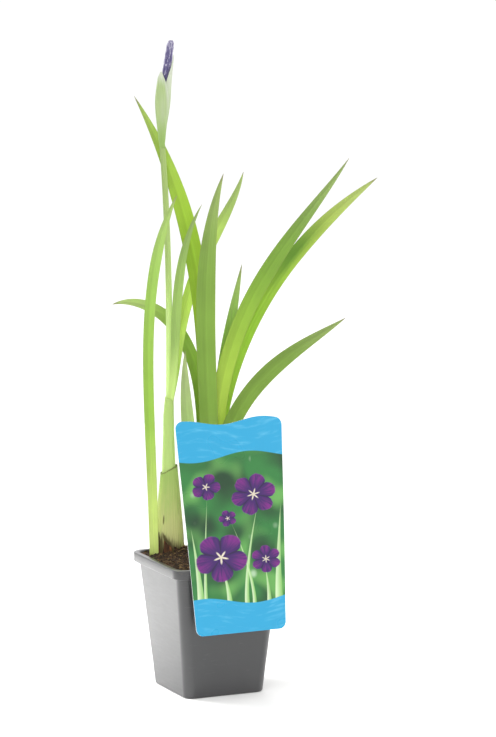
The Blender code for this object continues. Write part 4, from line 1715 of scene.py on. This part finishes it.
@dataclass(frozen=True)
class PeatBed(Piece):
    """The peat: a heaped block that fills the pot, with crumbs, bark and fibres on top."""

    pot: NurseryPot
    finish: PeatFinish
    chip_finish: FibreFinish
    fibre_finish: FibreFinish
    gap: float = 0.3
    edge_height: float = 97.5
    edge_drop: float = 2.0
    mound: float = 6.5
    mound_at: tuple[float, float] = (-7.0, 17.0)
    mound_spread: float = 27.0
    ripple: float = 0.7
    ripple_lengths: tuple[float, float] = (15.0, 20.0)
    roughness: float = 1.1
    grit_pitch: float = 0.28
    grit_falloff: float = 0.8
    rings: int = 70
    side_steps: int = 6
    strew_inset: float = 2.2
    slot = Slot.PEAT
    node = "soil"

    def top_point(self, x: float, y: float) -> Vector:
        """Find a point of the peat's top, heaped round the plant.

        Args:
            x: Its place to the right.
            y: Its place to the back.

        Returns:
            The point.
        """
        spot = Vector((x, y, 0.0))
        reach = math.hypot(spot.x - self.mound_at[0], spot.y - self.mound_at[1]) / self.mound_spread
        heap = self.mound * math.exp(-reach * reach)
        length_x, length_y = self.ripple_lengths
        wave = math.sin(math.tau * spot.x / length_x) * math.cos(math.tau * spot.y / length_y + 1.0)
        grit = noise.fractal(spot * self.grit_pitch, self.grit_falloff, 2.0, 4)
        return spot + upward(self.edge_height + heap + self.ripple * wave + self.roughness * grit)

    def top(self, skin: Skin, inset: float = 0.0) -> list[int]:
        """Add the top to a skin.

        Args:
            skin: The skin that takes it.
            inset: How far it stays from the wall.

        Returns:
            The loop at its edge.
        """
        rim = self.pot.wall_loop(self.pot.wall + self.gap + inset, self.edge_height)
        rings = [1.0 - ring / self.rings for ring in range(self.rings)]
        loops = [skin.loop([self.top_point(spot.x * share, spot.y * share) for spot in rim])
                 for share in rings]
        loops.append(skin.loop([self.top_point(0.0, 0.0)]))
        skin.chain(loops)
        return loops[0]

    def build(self) -> list[bpy.types.Object]:
        """Make the block and strew its top.

        Returns:
            The block, then the crumbs, bark chips and fibres.
        """
        skin = Skin()
        edge = self.top(skin)
        highest, lowest = self.edge_height - self.edge_drop, self.pot.base_plate + self.gap
        sides = [skin.loop(self.pot.wall_loop(self.pot.wall + self.gap, mix(highest, lowest, share)))
                 for share in shares(self.side_steps)]
        skin.chain([edge, *sides])
        skin.face(sides[-1])
        crumbs = crumb_tree()
        names = CRUMB_SIZES + CRUMB_COUNTS
        return [
            skin.solid("peat_block", self.finish),
            self.strew("peat_crumbs", crumbs, self.finish, names,
                       (420000.0, 0.35 * MM, 1.9 * MM, 0.75, 1.1, 0.1, 1, 11)),
            self.strew("peat_lumps", crumbs, self.finish, names,
                       (26000.0, 1.4 * MM, 3.4 * MM, 0.7, 1.4, 0.25, 3, 23)),
            self.strew("bark_chips", crumbs, self.chip_finish, names,
                       (16000.0, 0.5 * MM, 2.1 * MM, 0.3, 0.9, -0.4, 2, 37)),
            self.strew("peat_fibres", fibre_tree(), self.fibre_finish, (*FIBRE_SIZES, "Seed"),
                       (34000.0, 3.0 * MM, 9.0 * MM, 0.022, 0.7 * MM, 41)),
        ]

    def strew(self, name: str, tree: bpy.types.NodeTree, finish: Finish, inputs: Sequence[str],
              values: Sequence[float]) -> bpy.types.Object:
        """Strew one layer over the top.

        Args:
            name: The layer's name.
            tree: The tree that strews it.
            finish: Its finish.
            inputs: The names of the tree's inputs.
            values: What goes into them.

        Returns:
            The layer's object.
        """
        skin = Skin()
        self.top(skin, self.strew_inset)
        ground = skin.mesh(f"{name}_ground", finish)
        return run_tree(name, tree, ground, finish, dict(zip(inputs, values)))


@dataclass(frozen=True)
class Bloom:
    """One stylised flower of the printed design: its centre, radius and turn, in millimetres."""

    across: float
    up: float
    radius: float
    turn: float
    petals: float = 6.0


@dataclass(frozen=True)
class Blade:
    """One upright blade of the design: where its foot is, how far it leans, its top and its width."""

    foot: float
    lean: float
    top: float
    width: float


@dataclass(frozen=True)
class PrintFinish(Finish):
    """The card's printed face: blue bands above and below soft-focus green with violet rosettes."""

    roughness: float = 0.3
    specular: float = 0.5
    blue: Colour = (36, 152, 196)
    pale_blue: Colour = (96, 182, 214)
    deep_green: Colour = (22, 60, 32)
    green: Colour = (44, 116, 54)
    light_green: Colour = (104, 168, 84)
    haze: Colour = (196, 216, 190)
    blade_green: Colour = (128, 182, 96)
    blade_light: Colour = (206, 226, 184)
    violet: Colour = (54, 18, 92)
    magenta: Colour = (112, 26, 118)
    heart: Colour = (226, 216, 190)
    band_top: float = 181.0
    band_bottom: float = 76.0
    band_sway: float = 3.0
    band_blur: float = 0.25
    ruffle: float = 0.16
    blades: tuple[Blade, ...] = (
        Blade(-8.0, -6.0, 104.0, 2.2),
        Blade(6.0, 14.0, 148.0, 2.0),
        Blade(24.0, -2.0, 100.0, 1.8),
        Blade(-27.0, 6.0, 156.0, 1.6),
        Blade(12.0, -16.0, 134.0, 1.6),
        Blade(32.0, 6.0, 146.0, 3.2),
        Blade(-31.0, -5.0, 132.0, 3.0),
    )
    blooms: tuple[Bloom, ...] = (
        Bloom(-6.0, 136.0, 7.5, 0.6, 5.0),
        Bloom(23.0, 104.0, 12.5, 0.5),
        Bloom(-22.0, 160.0, 12.0, 0.1, 5.0),
        Bloom(16.0, 152.0, 19.0, 0.8),
        Bloom(-13.0, 108.0, 22.0, 0.3, 5.0),
    )

    def rosette(self, across: Wire, up: Wire, under: Wire, bloom: Bloom) -> Wire:
        """Paint one bloom over a colour.

        Args:
            across: The place across the card.
            up: The place up the card.
            under: The colour beneath it.
            bloom: The flower.

        Returns:
            The colour with the flower on it.
        """
        cloud, blend = under.graph.cloud, under.graph.blend
        out_x = across - bloom.across
        out_y = (up - bloom.up) * 1.2
        away = (out_x * out_x + out_y * out_y).reckon("SQRT") / bloom.radius
        angle = out_y.reckon("ARCTAN2", out_x) + bloom.turn
        lobe = (angle * (bloom.petals / 2)).cosine().size()
        uneven = cloud(under.graph.around(angle, 2.2, bloom.turn), 1.6, 3.0, 0.6) - 0.5
        reach = away / (lobe ** 0.5 * 0.36 + 0.64 + uneven * self.ruffle)
        veins = cloud((angle * 9.0, away * 1.5, bloom.turn), 1.0, 3.0, 0.6)
        sheen = lobe.step(0.2, 0.95) * reach.step(0.25, 0.85)
        petal = blend(sheen * veins.step(0.3, 0.62), self.violet, self.magenta)
        petal = petal.level(lobe.step(0.0, 0.35, 0.45, 1.0) * reach.step(0.9, 1.0, 1.0, 1.4))
        flare = (away - lobe ** 5.0 * 0.2).fall(0.0, 0.12)
        return under.tint(reach.fall(0.93, 1.0), petal.tint(flare * 0.85, self.heart))

    def leaf(self, across: Wire, up: Wire, under: Wire, blade: Blade) -> Wire:
        """Paint one upright blade over a colour.

        Args:
            across: The place across the card.
            up: The place up the card.
            under: The colour beneath it.
            blade: The blade.

        Returns:
            The colour with the blade on it.
        """
        share = (up - self.band_bottom) / (blade.top - self.band_bottom)
        middle = share.at_least(0.0) ** 1.6 * blade.lean + blade.foot
        half = ((1.0 - share) * blade.width).at_least(0.0)
        inside = ((across - middle).size() - half).fall(-0.5, 0.1) * share.fall(0.99, 1.0)
        tone = under.graph.blend((across - middle).step(-blade.width, blade.width), self.blade_light,
                                 self.blade_green)
        return under.tint(inside * 0.9, tone)

    def shade(self, graph: Graph) -> Shades:
        """Build the printed design.

        Args:
            graph: The material's tree.

        Returns:
            The colour, the height of the relief and the change of roughness.
        """
        across, up = graph.marks("across", "up")
        spot = graph.combine(across, up, 0.0)
        swell = graph.cloud(spot, 0.034, 1.0, 0.4)
        lights = graph.cloud(spot + (40.0, 0.0, 0.0), 0.05, 0.0)
        drops = graph.add("ShaderNodeTexVoronoi", {"Vector": spot, "Scale": 0.062}).outputs
        chosen = graph.split(Wire(graph, drops["Color"]))[0]
        glints = Wire(graph, drops["Distance"]).fall(0.05, 0.25) * chosen.step(0.5, 0.75)
        colour = graph.blend(swell.step(0.3, 0.62), self.deep_green, self.green)
        colour = colour.tint(lights.step(0.48, 0.78) * 0.8, self.light_green)
        colour = colour.tint(glints * 0.55, self.haze)
        for blade in self.blades:
            colour = self.leaf(across, up, colour, blade)
        for bloom in self.blooms:
            colour = self.rosette(across, up, colour, bloom)
        sway = (across * 0.075 + 0.6).sine() * self.band_sway
        header = (up - sway).step(self.band_top - self.band_blur, self.band_top + self.band_blur)
        footer = (up + sway).fall(self.band_bottom - self.band_blur, self.band_bottom + self.band_blur)
        ripple = graph.cloud((across * 0.05, up * 0.28 + sway * 0.3, 3.0), 1.0, 3.0, 0.55)
        sky = graph.blend(ripple.step(0.5, 0.8) * 0.75, self.blue, self.pale_blue)
        waviness = graph.cloud(spot, 0.03, 1.0)
        return colour.tint(header.at_least(footer), sky), waviness * 4.0, waviness


@dataclass(frozen=True)
class BoardFinish(Finish):
    """The card's unprinted back and edges: white board with a faint mottle."""

    roughness: float = 0.55
    specular: float = 0.4
    bump_height: float = 0.03
    white: Colour = (236, 238, 238)
    shadow: Colour = (226, 230, 232)

    def shade(self, graph: Graph) -> Shades:
        """Build the board's mottle.

        Args:
            graph: The material's tree.

        Returns:
            The colour, the height of the relief and the change of roughness.
        """
        mottle = graph.cloud(graph.place(), 180.0, 4.0, 0.6)
        grain = graph.cloud(graph.place(), 2500.0, 2.0)
        return graph.blend(mottle, self.white, self.shadow), grain, mottle


@dataclass(frozen=True)
class PictureCard(Piece):
    """The plant's picture card, which hooks over the front rim and leans back a little."""

    pot: NurseryPot
    print_finish: PrintFinish
    board_finish: BoardFinish
    lean: float = 8.0
    clearance: float = 1.0
    thickness: float = 0.5
    shift: float = 3.0
    top_width: float = 86.0
    bottom_width: float = 72.0
    bottom: float = 52.0
    top: float = 206.6
    corner: float = 5.0
    wave_height: float = 2.1
    wave_length: float = 62.0
    wave_crest: float = 25.0
    curl: float = 1.6
    curl_from: float = 108.0
    hook_width: float = 14.0
    hook_rise: float = 1.3
    hook_depth: float = 15.0
    hook_bend: float = 2.2
    hook_steps: int = 6
    gap: float = 0.3
    sharp_from: float = 40.0
    columns: int = 56
    rows: int = 48
    slot = Slot.CARD
    node = "label"

    def point(self, across: float, up: float, depth: float) -> Vector:
        """Find a point of the card.

        Args:
            across: Its place to the right.
            up: Its height above the pot's base.
            depth: How far it lies behind the middle of the board.

        Returns:
            The point.
        """
        cosine, sine = math.cos(math.radians(self.lean)), math.sin(math.radians(self.lean))
        start = Vector((self.shift + across, -self.pot.rim_width / 2 - self.clearance, self.pot.height))
        rise = (up - self.pot.height) / cosine
        bowed = self.curl * ease(up, self.curl_from, self.top) * (2 * across / self.top_width) ** 2
        return start + Vector((0.0, sine, cosine)) * rise + Vector((0.0, cosine, -sine)) * (depth + bowed)

    def round_off(self, across: float, half: float) -> float:
        """Return how far a round corner pulls the edge in at a place across."""
        into = max(0.0, abs(across) - (half - self.corner))
        return self.corner - math.sqrt(max(0.0, self.corner**2 - into**2))

    def face_rows(self, skin: Skin, depth: float) -> list[list[int]]:
        """Add one face of the board to a skin.

        Args:
            skin: The skin that takes it.
            depth: How far it lies behind the middle of the board.

        Returns:
            Its rows of points, from the bottom up.
        """
        low_half, high_half = self.bottom_width / 2, self.top_width / 2
        sides = [math.sin(QUARTER * side) for side in sideways(self.columns)]
        rows = []
        for share in shares(self.rows):
            line = []
            for side in sides:
                low = self.bottom + self.round_off(side * low_half, low_half)
                crest = math.cos(math.tau * (side * high_half - self.wave_crest) / self.wave_length)
                high = self.top + self.wave_height * crest - self.round_off(side * high_half, high_half)
                up = mix(low, high, share)
                widening = clamp((up - self.bottom) / (self.top - self.bottom))
                line.append((side * mix(low_half, high_half, widening), up))
            across, up = zip(*line)
            rows.append(skin.loop([self.point(*spot, depth) for spot in line], across=across, up=up))
        return rows

    def build(self) -> list[bpy.types.Object]:
        """Make the board and its tongue.

        Returns:
            The card's object.
        """
        skin = Skin()
        front, back = (self.face_rows(skin, depth) for depth in (-self.thickness / 2, self.thickness / 2))
        skin.chain(front, ring=False)
        skin.chain([row[::-1] for row in back], 1, ring=False)
        edges = [[*rows[0], *[row[-1] for row in rows[1:]], *rows[-1][-2::-1],
                  *[row[0] for row in rows[-2:0:-1]]] for rows in (front, back)]
        skin.join(*edges, 1)
        skin.tube([skin.loop(self.tongue(side * self.hook_width / 2)) for side in (-1, 1)], 1)
        card = skin.solid("card_board", self.print_finish, self.board_finish)
        card.data.set_sharp_from_angle(angle=math.radians(self.sharp_from))
        return [card]

    def tongue(self, x: float) -> list[Vector]:
        """Draw one side of the tongue: back over the rim, then down inside the wall.

        Args:
            x: Its place to the right.

        Returns:
            The outline.
        """
        half = self.thickness / 2
        height, rim_half = self.pot.height, self.pot.wall_half(self.pot.height)
        plate = height + self.hook_rise
        inside = -(rim_half - self.pot.wall - self.gap - half)
        slope = (rim_half - self.pot.wall_half(0.0)) / height
        foot = Vector((x, inside + slope * self.hook_depth, height - self.hook_depth))
        front = Vector((x, self.point(0.0, plate, 0.0).y, plate))
        turning = Vector((x, inside - self.hook_bend, plate - self.hook_bend))
        angles = [QUARTER - QUARTER * share for share in shares(self.hook_steps)]
        upper, lower = (
            [front + upward(offset),
             *[turning + Vector((0.0, math.cos(angle), math.sin(angle))) * (self.hook_bend + offset)
               for angle in angles],
             foot + Vector((0.0, offset, 0.0))]
            for offset in (half, -half))
        return upper + lower[::-1]


@dataclass(frozen=True)
class FloorFinish(Finish):
    """The plain, pale floor."""

    roughness: float = 0.7
    specular: float = 0.2
    pale: Colour = (246, 246, 245)
    shadow: Colour = (242, 242, 241)

    def shade(self, graph: Graph) -> Shades:
        """Return an almost even colour."""
        cloud = graph.cloud(graph.place(), 3.0)
        return graph.blend(cloud * 0.02, self.pale, self.shadow), cloud, cloud


@dataclass(frozen=True)
class Lamp:
    """One soft light: where it hangs, its width, its power in watts, its target and its beam."""

    name: str
    spot: Spot
    size: float
    power: float
    target: Spot | None = None
    spread: float = 180.0


@dataclass(frozen=True)
class Studio:
    """The pale floor, the soft lights and the camera at the photograph's viewing angle."""

    azimuth: float = 24.6
    elevation: float = 8.9
    distance: float = 2987.0
    pixels_per_mm: float = 1.34
    frame_height: float = 737.0
    sensor: float = 36.0
    sight: float = 100.0
    aim: Spot = (36.0, 8.0, 238.0)
    world_level: float = 1.12
    floor_reach: float = 40000.0
    lamps: tuple[Lamp, ...] = (
        Lamp("key_light", (-1300.0, -1500.0, 1900.0), 1300.0, 12.0),
        Lamp("fill_light", (1900.0, -900.0, 900.0), 1600.0, 12.0),
        Lamp("back_light", (300.0, 1900.0, 1500.0), 1400.0, 9.0),
        Lamp("floor_light", (-350.0, 450.0, 800.0), 500.0, 1.9, (-150.0, 250.0, 0.0), 50.0),
    )

    def lay_floor(self) -> None:
        """Lay the floor."""
        skin = Skin()
        skin.face(skin.loop([Vector((x * self.floor_reach, y * self.floor_reach, 0.0)) for x, y in CORNERS]))
        floor = skin.solid("floor", FloorFinish("floor_pale"))
        if floor.data.polygons[0].normal.z < 0:
            floor.data.flip_normals()

    def hang(self, name: str, data: bpy.types.ID, spot: Vector, facing: Vector) -> bpy.types.Object:
        """Hang a lamp or the camera.

        Args:
            name: The object's name.
            data: The lamp or the camera.
            spot: Where it hangs, in millimetres.
            facing: The way it faces.

        Returns:
            The object.
        """
        made = show(name, data)
        made.location = spot * MM
        made.rotation_euler = facing.to_track_quat("-Z", "Y").to_euler()
        return made

    def set_camera(self) -> None:
        """Set the camera far off, as the photograph's long lens stood."""
        azimuth, elevation = math.radians(self.azimuth), math.radians(self.elevation)
        back = Vector((-math.sin(azimuth) * math.cos(elevation), -math.cos(azimuth) * math.cos(elevation),
                       math.sin(elevation)))
        data = bpy.data.cameras.new("camera")
        data.sensor_width = self.sensor
        data.lens = self.sensor * self.distance * self.pixels_per_mm / self.frame_height
        data.clip_end = self.sight
        bpy.context.scene.camera = self.hang("camera", data, Vector(self.aim) + back * self.distance, -back)

    def light(self, lamp: Lamp) -> None:
        """Hang one soft light.

        Args:
            lamp: The light, which faces the plant where it has no target.
        """
        data = bpy.data.lights.new(lamp.name, "AREA")
        data.shape = "DISK"
        data.size = lamp.size * MM
        data.energy = lamp.power
        data.spread = math.radians(lamp.spread)
        spot = Vector(lamp.spot)
        self.hang(lamp.name, data, spot, Vector(lamp.target or self.aim) - spot)

    def build(self) -> None:
        """Set the floor, lights, sky and camera."""
        self.lay_floor()
        self.set_camera()
        for lamp in self.lamps:
            self.light(lamp)
        world = bpy.data.worlds.new("studio")
        world.use_nodes = True
        sky = world.node_tree.nodes["Background"]
        sky.inputs["Color"].default_value = (1.0, 1.0, 1.0, 1.0)
        sky.inputs["Strength"].default_value = self.world_level
        bpy.context.scene.world = world
        bpy.context.scene.view_settings.view_transform = "Standard"


def main() -> None:
    """Build and dress every piece, then the studio."""
    logging.basicConfig(level=logging.INFO, format="%(name)s %(message)s")
    pot = NurseryPot(PlasticFinish("black_plastic"))
    peat = PeatBed(pot, PeatFinish("damp_peat"), FibreFinish("bark_brown"),
                   FibreFinish("straw_brown", 0.75, bump_height=0.05, pale=(146, 122, 80)))
    card = PictureCard(pot, PrintFinish("card_print"), BoardFinish("card_board"))
    sheaths = (
        Sheath("sheath_stem", FLOWERING_FAN,
               ((-1.5, 0, 7.2, 5.8), (35, -0.1, 6.0, 5.4), (64, -0.3, 5.1, 4.8), (90, -0.3, 4.2, 4.2),
                (104, -0.3, 4.0, 4.0), (117, 0.3, 3.3, 3.7)), 0.6, -1.0,
               SheathFinish("sheath_stem_pale", cream=(232, 236, 168), green=(204, 228, 144),
                            streak=(196, 170, 92), seed=1.0)),
        Sheath("sheath_flowering_fan", FLOWERING_FAN,
               ((-1.5, 0, 11.6, 8.4), (18, 0, 10.5, 7.8), (40, 0, 8.6, 7.0), (63.5, -0.2, 6.4, 6.0)),
               0.8, 3.2,
               SheathFinish("sheath_flowering_pale", margin=0.7, seed=4.0,
                            splits=((4.4, 26.0, 0.0, 0.08, 4.5), (4.58, 10.0, 0.035, 0.17, 8.0),
                                    (4.15, 8.0, 0.02, 0.2, 9.0)))),
        Sheath("sheath_leafy_fan", LEAFY_FAN,
               ((-1.5, -0.5, 11.6, 7.4), (10, -0.5, 12.0, 7.6), (20, -0.5, 12.7, 7.95),
                (30, -0.5, 13.5, 8.15)), 0.8, 3.0,
               SheathFinish("sheath_leafy_pale", margin=0.35, seed=7.0), dip=6.0, fold_depth=4.0),
    )
    scales = TornScales(sheaths[1], FibreFinish("dead_brown", bump_height=0.15, pale=(112, 74, 40),
                                                dark=(44, 28, 18), stretch=(1.0, 1.0, 0.2)))
    stem = FlowerStem(StemFinish("stem_smooth"))
    bud = Bud(PetalFinish("petal_violet"), stem)
    bracts = (
        Bract("bract_inner", bud,
              BractFinish("bract_inner_pale", film_from=0.35, body=(196, 212, 168), seed=2.0),
              0.0, 66.0, 0.0, 0.6, 0.4, 0.6, fullness=3.0, slimness=1.0),
        Bract("bract_outer", bud, BractFinish("bract_outer_sage", seed=5.0),
              -3.0, 53.0, 165.0, 1.85, 0.5, 1.25),
    )
    for piece in (pot, peat, card, *LEAVES, *sheaths, scales, stem, bud, *bracts):
        piece.dress(piece.build())
    Studio().build()


if __name__ == "__main__":
    main()
